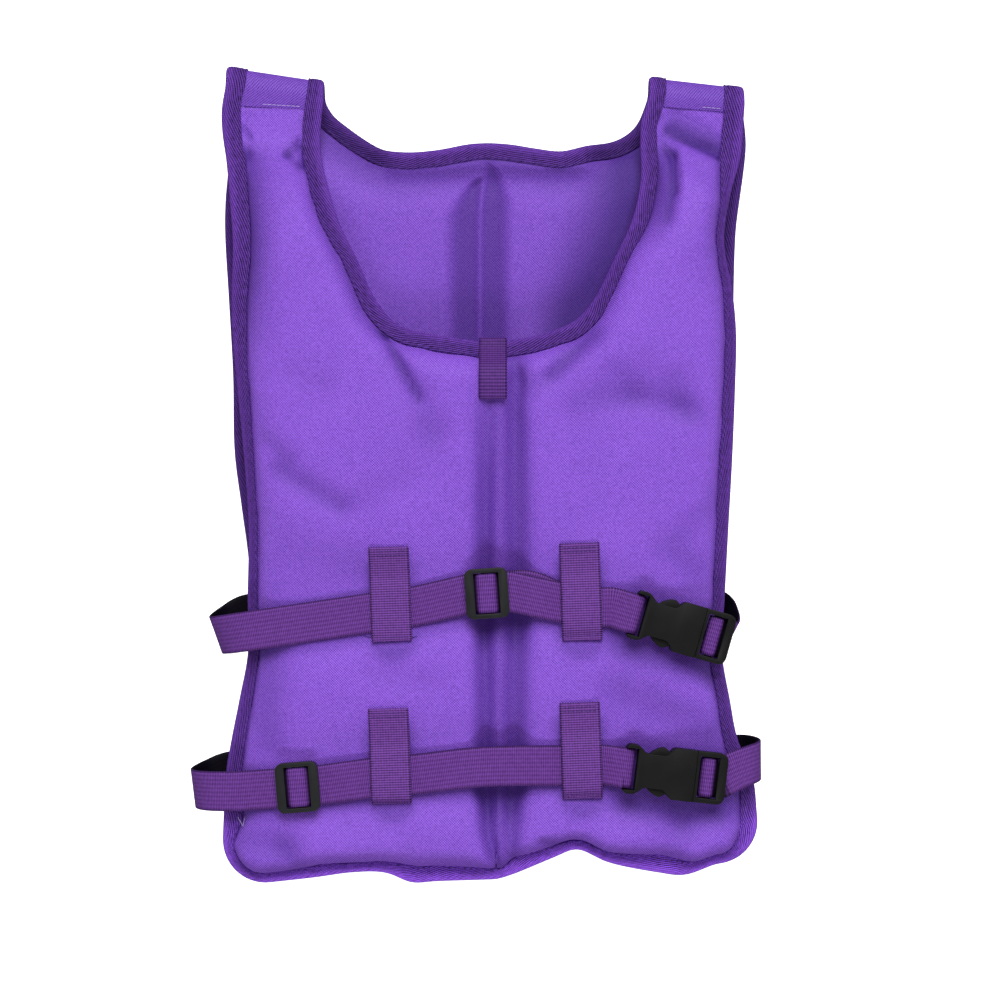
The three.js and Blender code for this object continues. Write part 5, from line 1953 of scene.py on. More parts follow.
@dataclass
class Band:
    """A band of webbing with soft edges, through stations."""

    width: float = WEBBING_WIDTH
    thick: float = 1.6
    edge_round: float = 0.5
    rim_inset: float = 0.15
    rim_height: float = 0.33
    columns: int = 9
    step: float = 1.6
    fewest: int = 8
    spline_steps: int = 12
    ground: float = 0.1
    inside_from: float = 0.1

    def section(self) -> Array:
        """Cross-section of the band.

        Returns:
            Its (across, normal) rows, round the band.
        """
        reach = self.width / 2
        flat = np.linspace(-reach + self.edge_round, reach - self.edge_round, self.columns)
        top = [(v, self.thick / 2) for v in flat]
        rim = [(reach - self.rim_inset, self.thick * self.rim_height), (reach, 0.0),
               (reach - self.rim_inset, -self.thick * self.rim_height)]
        under = [(-v, -u) for v, u in top]
        return np.array([*top, *rim, *under, *[(-v, -u) for v, u in rim]])

    def build(self, name: str, stations: Sequence[Station], finish: bpy.types.Material) -> bpy.types.Object:
        """Sweeps the section along the stations.

        Args:
            name: Name of the piece.
            stations: Where the band goes.
            finish: Its webbing.

        Returns:
            The closed band.
        """
        table = [(*place.centre, *(place.across * self.width),
                  place.painted_shading * self.width, place.sunk * self.width) for place in stations]
        line = spline(table, self.spline_steps)
        lengths = lengths_along(line[:, :3])
        at = np.linspace(0.0, lengths[-1], max(self.fewest, int(lengths[-1] / self.step)))
        even = np.stack([np.interp(at, lengths, column) for column in line.T], axis=1)
        centre, across = even[:, :3], even[:, 3:6]
        painted_shading, sunk = np.clip(even[:, 6:] / self.width, 0.0, 1.0).T
        tangent = directions(centre)
        across = across - tangent * np.sum(across * tangent, axis=1, keepdims=True)
        across /= np.linalg.norm(across, axis=1, keepdims=True)
        normal = np.cross(tangent, across)
        section = self.section()
        points = centre[:, None] + across[:, None] * section[None, :, :1]
        points = points + normal[:, None] * section[None, :, 1:]
        points[:, :, 2] += np.maximum(self.ground - points[:, :, 2].min(axis=1), 0.0)[:, None]
        count, size = len(centre), len(section)
        index = np.arange(count * size).reshape(count, size)
        nxt = np.roll(index, -1, 1)
        faces = np.stack([index[:-1], index[1:], nxt[1:], nxt[:-1]], axis=-1).reshape(-1, 4).tolist()
        faces += [index[0].tolist(), index[-1][::-1].tolist()]
        uv = np.stack([np.broadcast_to(at[:, None], (count, size)),
                       np.broadcast_to(section[None, :, 0], (count, size))], axis=-1).reshape(-1, 2) * MM
        obj = Mesher.from_faces(name, points.reshape(-1, 3), faces, uv, finish)
        # Painted shade on the band's inside faces by their stations' share, and on the whole band where it is
        # sunk in a slot
        inside = painted_shading[:, None] * (section[None, :, 1] > self.thick * self.inside_from)
        Mesher.mark_painted_shading(obj, np.maximum(inside, sunk[:, None]))
        Mesher.face_out(obj)
        return obj


class Bend(NamedTuple):
    """A place where a belt goes round a side of the vest, and how far its upper edge leans to the right."""

    x: float
    y: float
    z: float
    lean: float


class Seat(NamedTuple):
    """Place and direction of a hardware piece on the chest."""

    x: float
    y: float
    angle: float


@dataclass
class Belt:
    """One webbing belt: from its end under the slider to the socket, back, round the body and to the plug."""

    name: str
    slider: Seat
    buckle: Seat
    left_run: Sequence[Plan]
    right_run: Sequence[Plan]
    left_front: Plan
    left_turn: Sequence[Bend]
    right_turn: Sequence[Bend]
    tail: Sequence[Plan]
    under: float = 1.2
    over: float = 3.2
    round_bar: Sequence[Plan] = (
        (-36, 1.2), (-28.6, 1.2), (-27.2, 2.6), (-27.2, 5.6), (-28.6, 7), (-32, 7), (-36, 5), (-45, 2.6))
    under_slider: Sequence[Plan] = ((-1, 1.2), (25, 1.2))
    # A third column gives the share of painted shade where the webbing is sunk in a slot
    through_slider: Sequence[Sequence[float]] = (
        (14, 3.2), (8.6, 3, 0.95), (6.7, 4, 0.9), (5.2, 6, 0.2), (4, 6.4), (-4, 6.4), (-5.2, 6, 0.2),
        (-6.7, 4, 0.9), (-8.6, 3, 0.95), (-13, 2.9))
    through_plug: Sequence[Sequence[float]] = (
        (28, 2.8, 1), (25.6, 3.2, 1), (24.3, 4.6, 0.85), (22.6, 6.2), (18.6, 6.2), (16.8, 5, 0.4),
        (16.7, 2.6, 1), (18.4, 1, 1), (24, 0.8, 1))

    def at_hardware(self, places: Sequence[Sequence[float]], seat: Seat) -> list[Station]:
        """Stations at a hardware piece.

        Args:
            places: (u, z) places in its frame, some with a share of painted shade where they are sunk in a
                slot.
            seat: Its place on the chest.

        Returns:
            The stations.
        """
        matrix = pad_frame(*seat)
        across = matrix.to_3x3() @ Vector((0, 1, 0))
        return [Station(matrix @ Vector((u, 0, z)), across, 0.0, *sunk) for u, z, *sunk in places]

    def on_foam(self, places: Sequence[Plan], lift: float, angle: float) -> list[Station]:
        """Stations on the foam's crown."""
        across = Vector((-math.sin(angle), math.cos(angle), 0))
        return [Station(Vector((x, y, CROWN_Z + float(arch(x)) + lift)), across) for x, y in places]

    def round_side(self, turn: Sequence[Bend]) -> list[Station]:
        """Stations round one side, from the front down to the back, with full painted shade on the band's
        inside.
        """
        return [Station(Vector(row[:3]), Vector((row.lean, 1, 0)).normalized(), 1.0) for row in turn]

    def stations(self) -> list[Station]:
        """The whole way of the belt.

        Returns:
            Stations from one end to the other.
        """
        right_end = self.right_run[-1]
        right_angle = math.atan2(right_end[1] - self.slider.y, right_end[0] - self.slider.x)
        left_angle = math.atan2(self.slider.y - self.left_front[1], self.slider.x - self.left_front[0])
        return [
            *self.at_hardware(self.under_slider, self.slider),
            *self.on_foam(self.right_run, self.under, right_angle),
            *self.at_hardware(self.round_bar, self.buckle),
            *self.on_foam(self.right_run[::-1], self.over, right_angle),
            *self.at_hardware(self.through_slider, self.slider),
            *self.on_foam(self.left_run, self.under, left_angle),
            *self.on_foam([self.left_front], self.under, left_angle),
            *self.round_side(self.left_turn),
            *self.round_side(self.right_turn)[::-1],
            *self.at_hardware(self.through_plug, self.buckle),
            *self.at_hardware(self.tail, self.buckle),
        ]

    def build(self, finishes: Finishes) -> bpy.types.Object:
        """Makes the belt's webbing."""
        strap = f"{self.name}_strap"
        return Piece.settle(Band().build(strap, self.stations(), finishes.belt), Slot.WEBBING, strap)


@dataclass
class BeltLoop:
    """A sewn loop: flat on the foam at its ends, raised over its belt between them."""

    name: str
    belt: Belt
    x: float
    bottom: float
    top: float
    over: float
    sewn: float = 0.9
    rise: float = 3.0
    lean: float = -0.035
    thick: float = 1.4
    clearance: float = 1.5
    least_foot: float = 1.2
    least_knee: float = 1.6
    upper_knee: float = 1.0
    seam_inset: float = 2.6
    seam_half: float = 11.5
    seam_lift: float = 0.7
    loose_ends: float = 0.0
    loose_from: float = 12.0
    loose_heights: Plan = (2.0, 3.0)
    loose_lift: float = 0.3
    columns: Sequence[float] = (-11.5, -6.0, 0.0, 6.0, 11.5)

    def build(self, front: FrontPanel, finishes: Finishes, stitches: Stitches) -> bpy.types.Object:
        """Makes the loop and adds the rows of stitches at its ends.

        Args:
            front: The front panel that it is sewn to.
            finishes: The vest's finishes.
            stitches: Collects the thread of all loops.

        Returns:
            The loop.
        """
        belt = self.belt
        route = np.array(sorted([*belt.left_run, *belt.right_run, belt.slider[:2], belt.buckle[:2]]))
        middle = float(np.interp(self.x, route[:, 0], route[:, 1]))
        clear = WEBBING_WIDTH / 2 + self.clearance
        foot = max(self.bottom + self.least_foot, middle - clear - 2 * self.rise)
        knee = max(foot + self.least_knee, middle - clear)
        ends = np.array([self.bottom, foot, middle + clear + 2 * self.rise, self.top])
        spots = [(self.x + v, y) for y in ends for v in self.columns]
        sewn = front.surface(spots).reshape(len(ends), -1).max(axis=1) + self.sewn
        over = CROWN_Z + float(arch(self.x)) + self.over
        rows = np.array([(ends[0], sewn[0]), (foot, sewn[1]), (knee, over), (middle + clear, over),
                         (ends[2], max(sewn[2], over - self.upper_knee)), (ends[3], sewn[3])])
        across = Vector((1, -self.lean, arch_slope(self.x))).normalized()
        stations = [Station(Vector((self.x + self.lean * (y - middle), y, z)), across) for y, z in rows]
        loop = Band(thick=self.thick).build(self.name, stations, finishes.loop)
        for y in (self.bottom + self.seam_inset, self.top - self.seam_inset, self.top - 2 * self.seam_inset):
            z = float(np.interp(y, *rows.T)) + self.seam_lift
            centre = Vector((self.x + self.lean * (y - middle), y, z))
            stitches.row(np.array([centre - across * self.seam_half, centre + across * self.seam_half]), UP)
        for sign in (-1, 1) if self.loose_ends else ():
            far = self.x + sign * np.array([self.loose_from, self.loose_from + self.loose_ends])
            spots = np.column_stack([far, self.bottom + np.array(self.loose_heights)])
            stitches.bar(*np.column_stack([spots, front.surface(spots) + self.loose_lift]), UP)
        return Piece.settle(loop, Slot.WEBBING, self.name)


@dataclass
class NeckTab:
    """The short tab: up the front, over the neck tape and down inside."""

    x: float = 11.3
    width: float = 17.5
    thick: float = 1.2
    low: float = 47.3
    inside: float = 68.0
    front_rows: int = 6
    front_end: float = 3.0
    columns: Sequence[float] = (-0.45, -0.225, 0.0, 0.225, 0.45)
    over: float = 4.6
    over_from: float = 2.5
    lip: Sequence[Plan] = ((-0.5, 4.6), (3.0, 3.2), (4.2, 0.0), (3.0, -3.2), (-2.0, -4.6))
    band_columns: int = 7
    seam_inset: float = 2.4
    seam_half: float = 7.8

    def build(self, front: FrontPanel, finishes: Finishes, stitches: Stitches) -> bpy.types.Object:
        """Makes the tab and its stitches.

        Args:
            front: The front panel that it lies on.
            finishes: The vest's finishes.
            stitches: Collects the thread of the loops.

        Returns:
            The tab.
        """
        edge, inset = (line[0] for line in front.rim_stations(front.half(Side.LEFT).neck))
        rim_y, rim_z = edge[1:]
        rows = np.linspace(self.low, inset[1] - self.front_end, self.front_rows)
        columns = [self.x + share * self.width for share in self.columns]
        ground = [float(front.surface([(x, y) for x in columns]).max()) + self.thick for y in rows]
        places = [*zip(rows, ground), (inset[1] + self.over_from, inset[2] + self.over),
                  *[(rim_y + y, rim_z + z) for y, z in self.lip], (self.inside, rim_z - self.over)]
        stations = [Station(Vector((self.x, y, z)), Vector((1, 0, 0))) for y, z in places]
        band = Band(width=self.width, thick=self.thick, columns=self.band_columns)
        tab = band.build("neck_tab", stations, finishes.tab)
        line = [(self.x + v, self.low + self.seam_inset, ground[0] + self.thick / 2)
                for v in (-self.seam_half, self.seam_half)]
        stitches.row(np.array(line), UP)
        return Piece.settle(tab, Slot.WEBBING, "neck_tab")


Span = tuple[float, float]


class Bench:
    """Modelling steps for moulded pieces, as by hand."""

    EVERYWHERE: Span = (-1e3, 1e3)
    THROUGH: float = 20.0
    UPRIGHT: float = 0.99
    SAME_PLACE: float = 0.01
    CORNER_SEGMENTS: int = 5
    EDGE_SEGMENTS: int = 3
    EDGE_ANGLE: float = math.radians(32)
    SMOOTH_ANGLE: float = math.radians(38)

    @staticmethod
    def activate(obj: bpy.types.Object) -> None:
        """Makes an object the active one and the only one selected.

        Args:
            obj: The object.
        """
        bpy.ops.object.select_all(action="DESELECT")
        bpy.context.view_layer.objects.active = obj
        obj.select_set(True)

    @staticmethod
    def block(name: str, u: Span, v: Span, z: Span) -> bpy.types.Object:
        """A box between three pairs of limits, in millimetres.

        Args:
            name: Name of the new object.
            u: Limits along the belt.
            v: Limits across it.
            z: Limits out of the chest.

        Returns:
            The active new object.
        """
        bpy.ops.object.select_all(action="DESELECT")
        centre = [(a + b) / 2 for a, b in (u, v, z)]
        bpy.ops.mesh.primitive_cube_add(size=1.0, location=centre)
        obj = bpy.context.active_object
        obj.name = name
        obj.scale = [b - a for a, b in (u, v, z)]
        bpy.ops.object.transform_apply(location=True, rotation=True, scale=True)
        return obj

    @staticmethod
    def pick_upright(obj: bpy.types.Object, u: Span) -> None:
        """Selects, in edit mode, the upright edges between limits.

        Args:
            obj: Object in edit mode.
            u: Limits along the belt.
        """
        work = bmesh.from_edit_mesh(obj.data)
        for part in (work.verts, work.edges, work.faces):
            for element in part:
                element.select = False
        for edge in work.edges:
            a, b = (vert.co for vert in edge.verts)
            upright = abs((b - a).normalized().z) > Bench.UPRIGHT
            if upright and all(u[0] <= c.x <= u[1] for c in (a, b)):
                edge.select_set(True)
        bmesh.update_edit_mesh(obj.data)

    @staticmethod
    def round_corners(obj: bpy.types.Object, radius: float, u: Span = EVERYWHERE) -> None:
        """Rounds a plate's upright corners.

        Args:
            obj: The plate.
            radius: Radius of the corners.
            u: Limits along the belt.
        """
        Bench.activate(obj)
        bpy.ops.object.mode_set(mode="EDIT")
        bpy.ops.mesh.select_mode(type="EDGE")
        Bench.pick_upright(obj, u)
        bpy.ops.mesh.bevel(offset=radius, segments=Bench.CORNER_SEGMENTS, profile=0.5, affect="EDGES")
        bpy.ops.object.mode_set(mode="OBJECT")

    @staticmethod
    def shape_sides(obj: bpy.types.Object, outline: Sequence[Plan]) -> None:
        """Bisects a box along its length and draws its two sides to an outline.

        Args:
            obj: A box that spans the outline's length, its sides at the outline's widest.
            outline: Length and half width at each place.
        """
        Bench.activate(obj)
        widest = max(v for u, v in outline)
        bpy.ops.object.mode_set(mode="EDIT")
        for u, v in outline[1:-1]:
            bpy.ops.mesh.select_all(action="SELECT")
            bpy.ops.mesh.bisect(plane_co=(u, 0, 0), plane_no=(1, 0, 0))
        bpy.ops.mesh.select_mode(type="VERT")
        for u, v in outline:
            for sign in (-1, 1):
                work = bmesh.from_edit_mesh(obj.data)
                for vert in work.verts:
                    vert.select_set(abs(vert.co.x - u) < Bench.SAME_PLACE and vert.co.y * sign > 0)
                work.select_flush_mode()
                bmesh.update_edit_mesh(obj.data)
                bpy.ops.transform.translate(value=(0, sign * (v - widest), 0))
        bpy.ops.object.mode_set(mode="OBJECT")

    @staticmethod
    def cut(obj: bpy.types.Object, *tools: bpy.types.Object) -> None:
        """Cuts tools out of an object and removes them."""
        Bench.combine(obj, "DIFFERENCE", *tools)

    @staticmethod
    def join(obj: bpy.types.Object, *tools: bpy.types.Object) -> None:
        """Joins solids to an object and removes them."""
        Bench.combine(obj, "UNION", *tools)

    @staticmethod
    def combine(obj: bpy.types.Object, operation: str, *tools: bpy.types.Object) -> None:
        """Applies one Boolean modifier for each tool.

        Args:
            obj: Object that stays.
            operation: Name of the Boolean operation.
            tools: Objects used up.
        """
        Bench.activate(obj)
        for tool in tools:
            modifier = obj.modifiers.new("combine", "BOOLEAN")
            modifier.operation = operation
            modifier.object = tool
            modifier.solver = "EXACT"
            bpy.ops.object.modifier_apply(modifier=modifier.name)
            bpy.data.objects.remove(tool, do_unlink=True)

    @staticmethod
    def soften(obj: bpy.types.Object, width: float) -> None:
        """Softens the edges of a moulded piece.

        Args:
            obj: The piece, in millimetres in its own frame.
            width: Width of the softened edges.
        """
        Bench.activate(obj)
        bevel = obj.modifiers.new("soft_edges", "BEVEL")
        bevel.width = width
        bevel.segments = Bench.EDGE_SEGMENTS
        bevel.limit_method = "ANGLE"
        bevel.angle_limit = Bench.EDGE_ANGLE
        bevel.use_clamp_overlap = True
        bpy.ops.object.modifier_apply(modifier=bevel.name)

    @staticmethod
    def place(obj: bpy.types.Object, seat: Seat, material: bpy.types.Material) -> None:
        """Puts a moulded piece in its place and shades it.

        Args:
            obj: The piece, in millimetres in its own frame.
            seat: Its place on the chest.
            material: Its plastic.
        """
        Bench.activate(obj)
        obj.data.transform(Matrix.Scale(MM, 4) @ Matrix.Translation(PLAN_SHIFT) @ pad_frame(*seat))
        obj.data.materials.clear()
        obj.data.materials.append(material)
        bpy.ops.object.shade_smooth_by_angle(angle=Bench.SMOOTH_ANGLE)


@dataclass
class Moulded:
    """A moulded piece of hardware, modelled once in millimetres in its own frame and copied to its places."""

    soft: float = 0.7
    master: bpy.types.Mesh | None = None

    def model(self, name: str) -> bpy.types.Object:
        """Models the piece with sharp edges."""
        raise NotImplementedError

    def build(self, name: str, seat: Seat, plastic: bpy.types.Material) -> bpy.types.Object:
        """Models the piece, or copies the first one, and puts it in its place.

        Args:
            name: Name of the piece.
            seat: Its place.
            plastic: Its finish.

        Returns:
            The finished piece.
        """
        if self.master is None:
            obj = self.model(name)
            Bench.soften(obj, self.soft)
            self.master = obj.data.copy()
        else:
            obj = bpy.data.objects.new(name, self.master.copy())
            bpy.context.scene.collection.objects.link(obj)
        Bench.place(obj, seat, plastic)
        return Piece.settle(obj, Slot.HARDWARE, name)


@dataclass
class Slider(Moulded):
    """Three-bar slider through which a belt is threaded."""

    u: float = 13.4
    v: float = 15.6
    corner: float = 4.6
    z: Span = (2.6, 8.2)
    opening: float = 12.8
    slot: Span = (3.0, 7.8)
    bar_top: float = 5.0
    lift: float = 4.4

    def model(self, name: str) -> bpy.types.Object:
        """Models the slider.

        Args:
            name: Name of the piece.

        Returns:
            The slider with sharp edges.
        """
        near, far = self.slot
        across = (-self.opening, self.opening)
        frame_block = Bench.block(name, (-self.u, self.u), (-self.v, self.v), self.z)
        Bench.round_corners(frame_block, self.corner)
        Bench.cut(
            frame_block,
            Bench.block("slot", (near, far), across, (0, Bench.THROUGH)),
            Bench.block("slot", (-far, -near), across, (0, Bench.THROUGH)),
            Bench.block("relief", (far - 1, 2 * self.u), across, (0, self.lift)),
            Bench.block("relief", (-2 * self.u, 1 - far), across, (0, self.lift)),
            Bench.block("relief", (-near - 1, near + 1), across, (self.bar_top, Bench.THROUGH)))
        return frame_block


@dataclass
class BuckleSocket(Moulded):
    """Female half of a side-release buckle, with the waist that shows the prongs."""

    outline: Sequence[Plan] = (
        (-32, 13.4), (-31, 14.8), (-29.4, 15.4), (-25.2, 15.2), (-22.6, 13.6), (-20.4, 11.4), (-18, 10.4),
        (-7.6, 10.4), (-5.6, 11.6), (-3, 15), (-1.4, 16), (12, 16))
    z: Span = (0.6, 10.6)
    opening: float = 13.0
    bar: Span = (2.6, 5.6)
    slot: Span = (-28.6, -24.6)
    mouth: Span = (-20.0, 20.0)
    cavity_half: float = 13.5
    cavity: Span = (2.8, 8.4)
    soft: float = 0.9

    def model(self, name: str) -> bpy.types.Object:
        """Models the socket.

        Args:
            name: Name of the piece.

        Returns:
            The socket with sharp edges.
        """
        widest = max(v for u, v in self.outline)
        start, end = self.outline[0][0], self.outline[-1][0]
        across = (-self.opening, self.opening)
        body = Bench.block(name, (start, end), (-widest, widest), self.z)
        Bench.shape_sides(body, self.outline)
        bar_end = (start - 1, self.slot[0] + 1)
        Bench.cut(
            body,
            Bench.block("slot", self.slot, across, (0, Bench.THROUGH)),
            Bench.block("under_bar", bar_end, across, (0, self.bar[0])),
            Bench.block("over_bar", bar_end, across, (self.bar[1], Bench.THROUGH)),
            Bench.block("mouth", self.mouth, (-self.cavity_half, self.cavity_half), self.cavity))
        return body


@dataclass
class BucklePlug(Moulded):
    """Male half of a side-release buckle: a frame with two sprung prongs."""

    u: Span = (12.4, 32.0)
    half: float = 16.0
    corner: float = 5.2
    z: Span = (2.4, 9.0)
    opening: float = 13.0
    slots: Sequence[Span] = ((14.4, 18.5), (23.5, 26.6))
    bar_top: float = 5.0
    end_bar: Span = (4.4, 8.4)
    prong: Sequence[Plan] = (
        (-18.6, 9.4), (-15.4, 12.6), (-12, 14.6), (-9.6, 15.4), (-8, 15.4), (-5.6, 13.8), (-3.5, 12.8),
        (12.9, 12.8))
    prong_inner: float = 7.0
    prong_z: Span = (3.2, 8.0)
    prong_gap: Span = (-30.0, 9.0)
    margin: float = 0.1

    def model(self, name: str) -> bpy.types.Object:
        """Models the plug.

        Args:
            name: Name of the piece.

        Returns:
            The plug with sharp edges.
        """
        across = (-self.opening, self.opening)
        plate = Bench.block(name, self.u, (-self.half, self.half), self.z)
        Bench.round_corners(plate, self.corner, (self.u[1] - self.margin, self.u[1] + self.margin))
        bar = (self.slots[0][1] - 1, self.slots[1][0] + 1)
        end = (self.slots[1][1] - 1, self.u[1] + 1)
        Bench.cut(
            plate,
            *[Bench.block("slot", slot, across, (0, Bench.THROUGH)) for slot in self.slots],
            Bench.block("relief", bar, across, (self.bar_top, Bench.THROUGH)),
            Bench.block("under_end", end, across, (0, self.end_bar[0])),
            Bench.block("over_end", end, across, (self.end_bar[1], Bench.THROUGH)))
        widest = max(v for u, v in self.prong)
        length = (self.prong[0][0], self.prong[-1][0])
        prongs = Bench.block("prongs", length, (-widest, widest), self.prong_z)
        Bench.shape_sides(prongs, self.prong)
        inner = (-self.prong_inner, self.prong_inner)
        Bench.cut(prongs, Bench.block("gap", self.prong_gap, inner, (0, Bench.THROUGH)))
        Bench.join(plate, prongs)
        return plate


@dataclass
class ShoulderSeams:
    """Light thread along the lapped seams of the shoulders."""

    scrap: Sequence[tuple[Plan, Plan]] = (
        ((-149, -214.5), (-145.6, -221)), ((-144.6, -214.5), (-145.8, -221)))
    scrap_lift: float = 0.4
    runs: Sequence[tuple[Side, float, float]] = ((Side.LEFT, -137.0, -109.0), (Side.RIGHT, 143.0, 157.0))
    inset: float = 1.7
    samples: int = 12

    def build(self, front: FrontPanel, finishes: Finishes) -> bpy.types.Object:
        """Makes the stitches of both shoulders, and loose ends of the same thread at the lower left corner.

        Args:
            front: The front panel that they lie on.
            finishes: The vest's finishes.

        Returns:
            The finished piece.
        """
        stitches = Stitches(pitch=3.0, stitch=2.8, radius=0.2)
        for side, start, end in self.runs:
            x = np.linspace(start, end, self.samples)
            y = SHOULDERS[side].line(x, False) + self.inset
            stitches.row(np.column_stack([x, y, np.full(self.samples, FLAP_Z + CLOTH / 2)]), UP)
        for ends in self.scrap:
            stitches.bar(*np.column_stack([ends, front.surface(ends) + self.scrap_lift]), UP)
        return stitches.build("shoulder_stitches", finishes.glint, Slot.CLOTH)


@dataclass
class Studio:
    """Floor, soft light and the camera above the vest."""

    camera_plan: Plan = (15.75, -15.75)
    camera_height: float = 1.6
    lens: float = 89.14
    sensor: float = 36.0
    floor_size: float = 8.0
    floor_height: float = -0.0004
    key_place: Place = (0.4, 3.3, 3.6)
    key_size: Plan = (3.6, 3.2)
    key_power: float = 276.0
    fills: Sequence[tuple[Place, float]] = (
        ((-1.9, 0.0, 0.5), 11.0), ((1.9, 0.0, 0.5), 11.0), ((0.0, -2.6, 2.2), 44.0))
    fill_size: Plan = (1.6, 0.7)
    world: float = 0.2

    def lamp(self, name: str, place: Place, size: Plan, power: float) -> None:
        """Hangs a soft light facing the vest.

        Args:
            name: Name of the light.
            place: Where it hangs, in metres.
            size: Its width and height in metres.
            power: Its power in watts.
        """
        light = bpy.data.lights.new(name, "AREA")
        light.shape = "RECTANGLE"
        light.size, light.size_y = size
        light.energy = power
        lamp = bpy.data.objects.new(name, light)
        lamp.location = place
        lamp.rotation_euler = (-Vector(place)).to_track_quat("-Z", "Y").to_euler()
        bpy.context.scene.collection.objects.link(lamp)

    def build(self, finishes: Finishes) -> None:
        """Sets up camera, light and floor.

        Args:
            finishes: The scene's finishes.
        """
        scene = bpy.context.scene
        scene.view_settings.view_transform = "Standard"
        camera = bpy.data.cameras.new("camera")
        camera.lens = self.lens
        camera.sensor_width = self.sensor
        viewer = bpy.data.objects.new("camera", camera)
        viewer.location = (*[(c + s) * MM for c, s in zip(self.camera_plan, PLAN_SHIFT)], self.camera_height)
        scene.collection.objects.link(viewer)
        scene.camera = viewer
        self.lamp("key", self.key_place, self.key_size, self.key_power)
        for number, (place, power) in enumerate(self.fills):
            self.lamp(f"fill_{number}", place, self.fill_size, power)
        world = bpy.data.worlds.new("studio")
        scene.world = world
        world.use_nodes = True
        background = world.node_tree.nodes["Background"]
        background.inputs["Color"].default_value = (1.0, 1.0, 1.0, 1.0)
        background.inputs["Strength"].default_value = self.world
        bpy.ops.object.select_all(action="DESELECT")
        bpy.ops.mesh.primitive_plane_add(size=self.floor_size, location=(0.0, 0.0, self.floor_height))
        floor = bpy.context.active_object
        floor.name = "floor"
        floor.data.materials.append(finishes.floor)
        floor.visible_diffuse = floor.visible_glossy = False


def front_panel() -> FrontPanel:
    """The front panel with its outline tables.

    Returns:
        The panel.
    """
    return FrontPanel(
        name="front",
        sides=((-190, -156.7, 174.5), (-168, -153.2, 165.2), (-142, -148, 160), (-112, -142.5, 155),
               (-76, -142.7, 156.8), (-35, -142, 159), (5, -144.5, 161.3), (50, -148.8, 163.2),
               (90, -152.4, 164), (115, -153, 161.8), (148, -152.3, 156.3), (178, -155, 161),
               (200, -157.4, 167.4), (218, -160.2, 169.6), (232, -160.8, 170.4)),
        corners={Side.LEFT: Corner(-132.4, -230.4, 26), Side.RIGHT: Corner(151.7, -218.5, 26)},
        hem_centre=(14, -253.5),
        hems={Side.LEFT: ((-26, -255), (-40, -256), (-56, -249.2), (-78, -249.2), (-100, -252.5)),
              Side.RIGHT: ((24, -250), (50, -239), (64, -234), (84, -242.6), (118, -250), (131, -251.5))},
        neck_centre=(12, 82),
        necks={Side.LEFT: ((-25.6, 87.3), (-48, 93.5), (-63, 109), (-75.6, 136), (-87.1, 160), (-95.6, 187),
                           (-99.4, 205), (-99.8, 220)),
               Side.RIGHT: ((45, 88.5), (64.6, 97), (76.5, 111), (88.5, 135), (101, 163), (106.4, 190),
                            (106.2, 212), (107, 226))},
        neck_share=0.58, valley_rows=120, neck_rows=84, fade=(178.0, 216.0), setback=1.0)


def back_panel() -> BackPanel:
    """The back panel with its outline tables.

    Returns:
        The panel.
    """
    return BackPanel(
        name="back",
        sides=((-168, -155, 167), (-112, -144.5, 157), (-60, -144.5, 158.5), (-20, -149.5, 161),
               (15, -154, 163), (64, -155, 165), (110, -157.5, 165), (158, -160.2, 166.5), (178, -159.8, 169),
               (196, -158.2, 171.5), (214, -157.6, 173)),
        corners={Side.LEFT: Corner(-136, -213, 24), Side.RIGHT: Corner(155, -213, 24)},
        hem_centre=(8, -237),
        hems={Side.LEFT: ((-70, -237.5),), Side.RIGHT: ((85, -237.5),)},
        neck_centre=(9.3, 211.5),
        necks={Side.LEFT: ((-3, 210.9), (-24, 207), (-45, 205.6), (-58, 207.6), (-70, 214), (-86, 225.4),
                           (-93, 231.5)),
               Side.RIGHT: ((22, 210.6), (38, 208), (56, 206.2), (72, 210.5), (92, 215), (104, 224))},
        neck_share=0.84, valley_rows=130, neck_rows=34, fade=(190.0, 232.0))


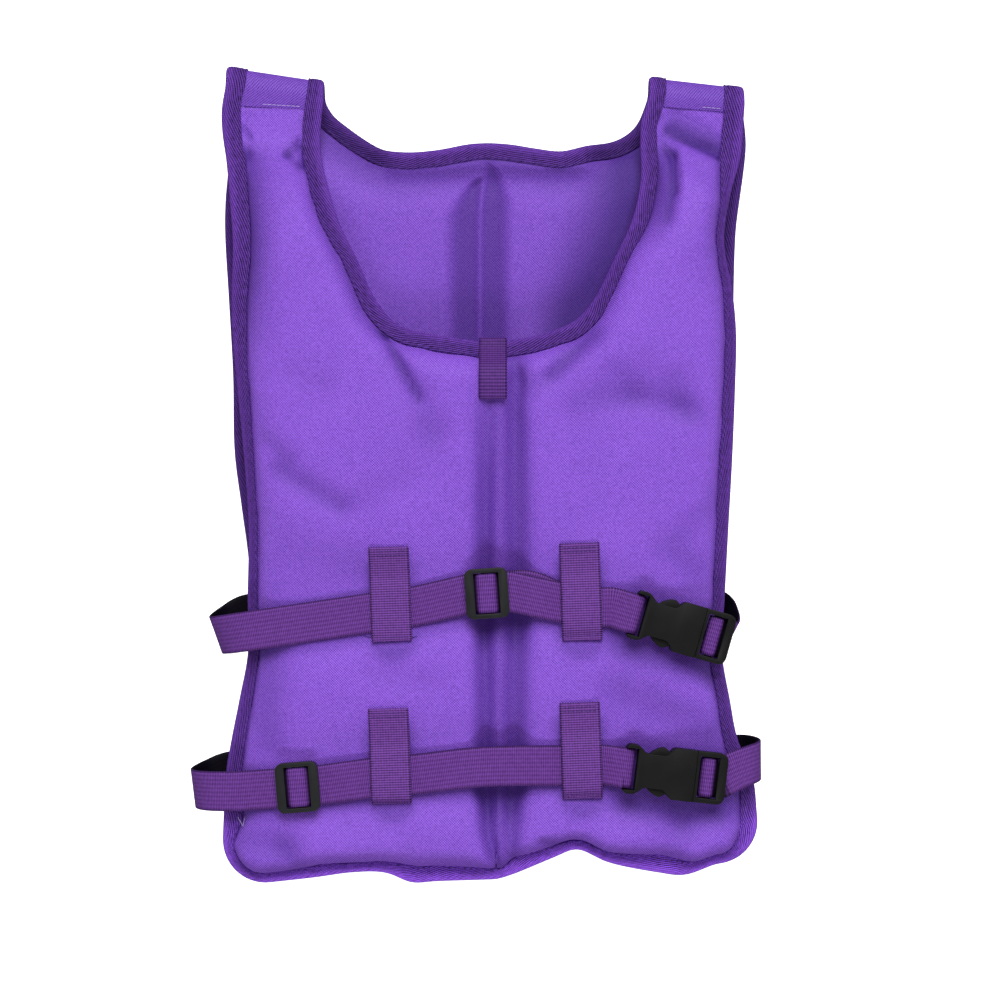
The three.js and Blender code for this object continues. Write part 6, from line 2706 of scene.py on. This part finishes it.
def belts() -> list[Belt]:
    """The two belts with their ways.

    Returns:
        The upper and the lower belt.
    """
    return [
        Belt("upper", Seat(7.6, -73.7, 0.07), Seat(128.3, -95.0, -0.28),
             left_run=((-38.5, -82.2), (-67.2, -86.5), (-90.2, -90)),
             right_run=((53.2, -79.3), (79.1, -82.5)),
             left_front=(-105, -92.2),
             left_turn=(Bend(-125, -95.2, 54, -0.2), Bend(-145, -98.3, 50.5, -0.26),
                        Bend(-158, -100.4, 42, -0.33), Bend(-164, -101.2, 29, -0.36),
                        Bend(-162.5, -98.6, 15, -0.36), Bend(-157, -94.6, 5, -0.32),
                        Bend(-148, -89.4, 1.3, -0.2), Bend(-130, -87.6, 0.9, -0.05), Bend(-108, -88, 0.9, 0)),
             right_turn=(Bend(157.9, -103.2, 53.2, 0.4), Bend(159.4, -103.2, 49, 0.46),
                         Bend(160.4, -101.2, 42, 0.5), Bend(160.8, -97.6, 33, 0.5),
                         Bend(160.2, -93, 21, 0.46), Bend(158.6, -89, 13, 0.4), Bend(155.6, -86.4, 5.5, 0.3),
                         Bend(149, -85.6, 1.3, 0.15), Bend(135, -86.4, 0.9, 0)),
             tail=((30, 0.6), (32, -0.6), (33, -4), (33.4, -14))),
        Belt("lower", Seat(-109.8, -194.5, 0.087), Seat(124.4, -186, -0.122),
             left_run=(), right_run=((-65.9, -189.1), (-38.5, -186.6), (3.3, -181.9), (53.2, -181)),
             left_front=(-137, -197),
             left_turn=(Bend(-152, -198, 51, -0.06), Bend(-166, -198.4, 46.5, -0.08),
                        Bend(-175, -198.6, 38, -0.12), Bend(-178.5, -198.4, 27, -0.13),
                        Bend(-176, -197, 14, -0.15), Bend(-169, -194.4, 4.5, -0.18),
                        Bend(-160, -191, 1.3, -0.16), Bend(-140, -188.6, 0.9, -0.05)),
             right_turn=(Bend(157.4, -187.4, 54, 0), Bend(164, -184.4, 52.6, -0.06),
                         Bend(171.8, -182, 48.6, -0.06), Bend(178, -180.6, 41, -0.03),
                         Bend(180.4, -180, 30, 0), Bend(178.8, -179.6, 15, 0.02),
                         Bend(173.4, -179.4, 5, 0.02), Bend(165, -179.8, 1.3, 0), Bend(148, -181, 0.9, 0)),
             tail=((29, 0.6), (32, 0.2))),
    ]


def belt_loops(upper: Belt, lower: Belt) -> list[BeltLoop]:
    """The four sewn loops.

    Args:
        upper: The upper belt.
        lower: The lower belt.

    Returns:
        The loops.
    """
    return [
        BeltLoop("upper_left_loop", upper, -52.2, -103.7, -45.1, 3.1, loose_ends=4.5),
        BeltLoop("upper_right_loop", upper, 66.3, -103.0, -42.6, 5.1),
        BeltLoop("lower_left_loop", lower, -52.2, -204.7, -145.4, 5.1),
        BeltLoop("lower_right_loop", lower, 66.6, -201.6, -141.7, 5.1),
    ]


def main() -> None:
    """Builds the vest piece by piece."""
    logging.basicConfig(level=logging.INFO, format="%(name)s: %(message)s")
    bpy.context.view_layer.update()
    finishes = Finishes()
    Studio().build(finishes)
    front, back = front_panel(), back_panel()
    front.build(finishes)
    back.build(finishes)
    for name, around_neck in (("neck_binding", True), ("edge_binding", False)):
        Binding(name, around_neck).build(front, back, finishes)
    ShoulderSeams().build(front, finishes)
    upper, lower = belts()
    loop_thread = Stitches(pitch=2.6, stitch=2.0, radius=0.22)
    for loop in belt_loops(upper, lower):
        loop.build(front, finishes, loop_thread)
    NeckTab().build(front, finishes, loop_thread)
    loop_thread.build("loop_stitches", finishes.seam, Slot.WEBBING)
    slider, socket, plug = Slider(), BuckleSocket(), BucklePlug()
    for belt in (upper, lower):
        belt.build(finishes)
        slider.build(f"{belt.name}_slider", belt.slider, finishes.slider)
        socket.build(f"{belt.name}_buckle_socket", belt.buckle, finishes.plastic)
        plug.build(f"{belt.name}_buckle_plug", belt.buckle, finishes.plastic)


if __name__ == "__main__":
    main()
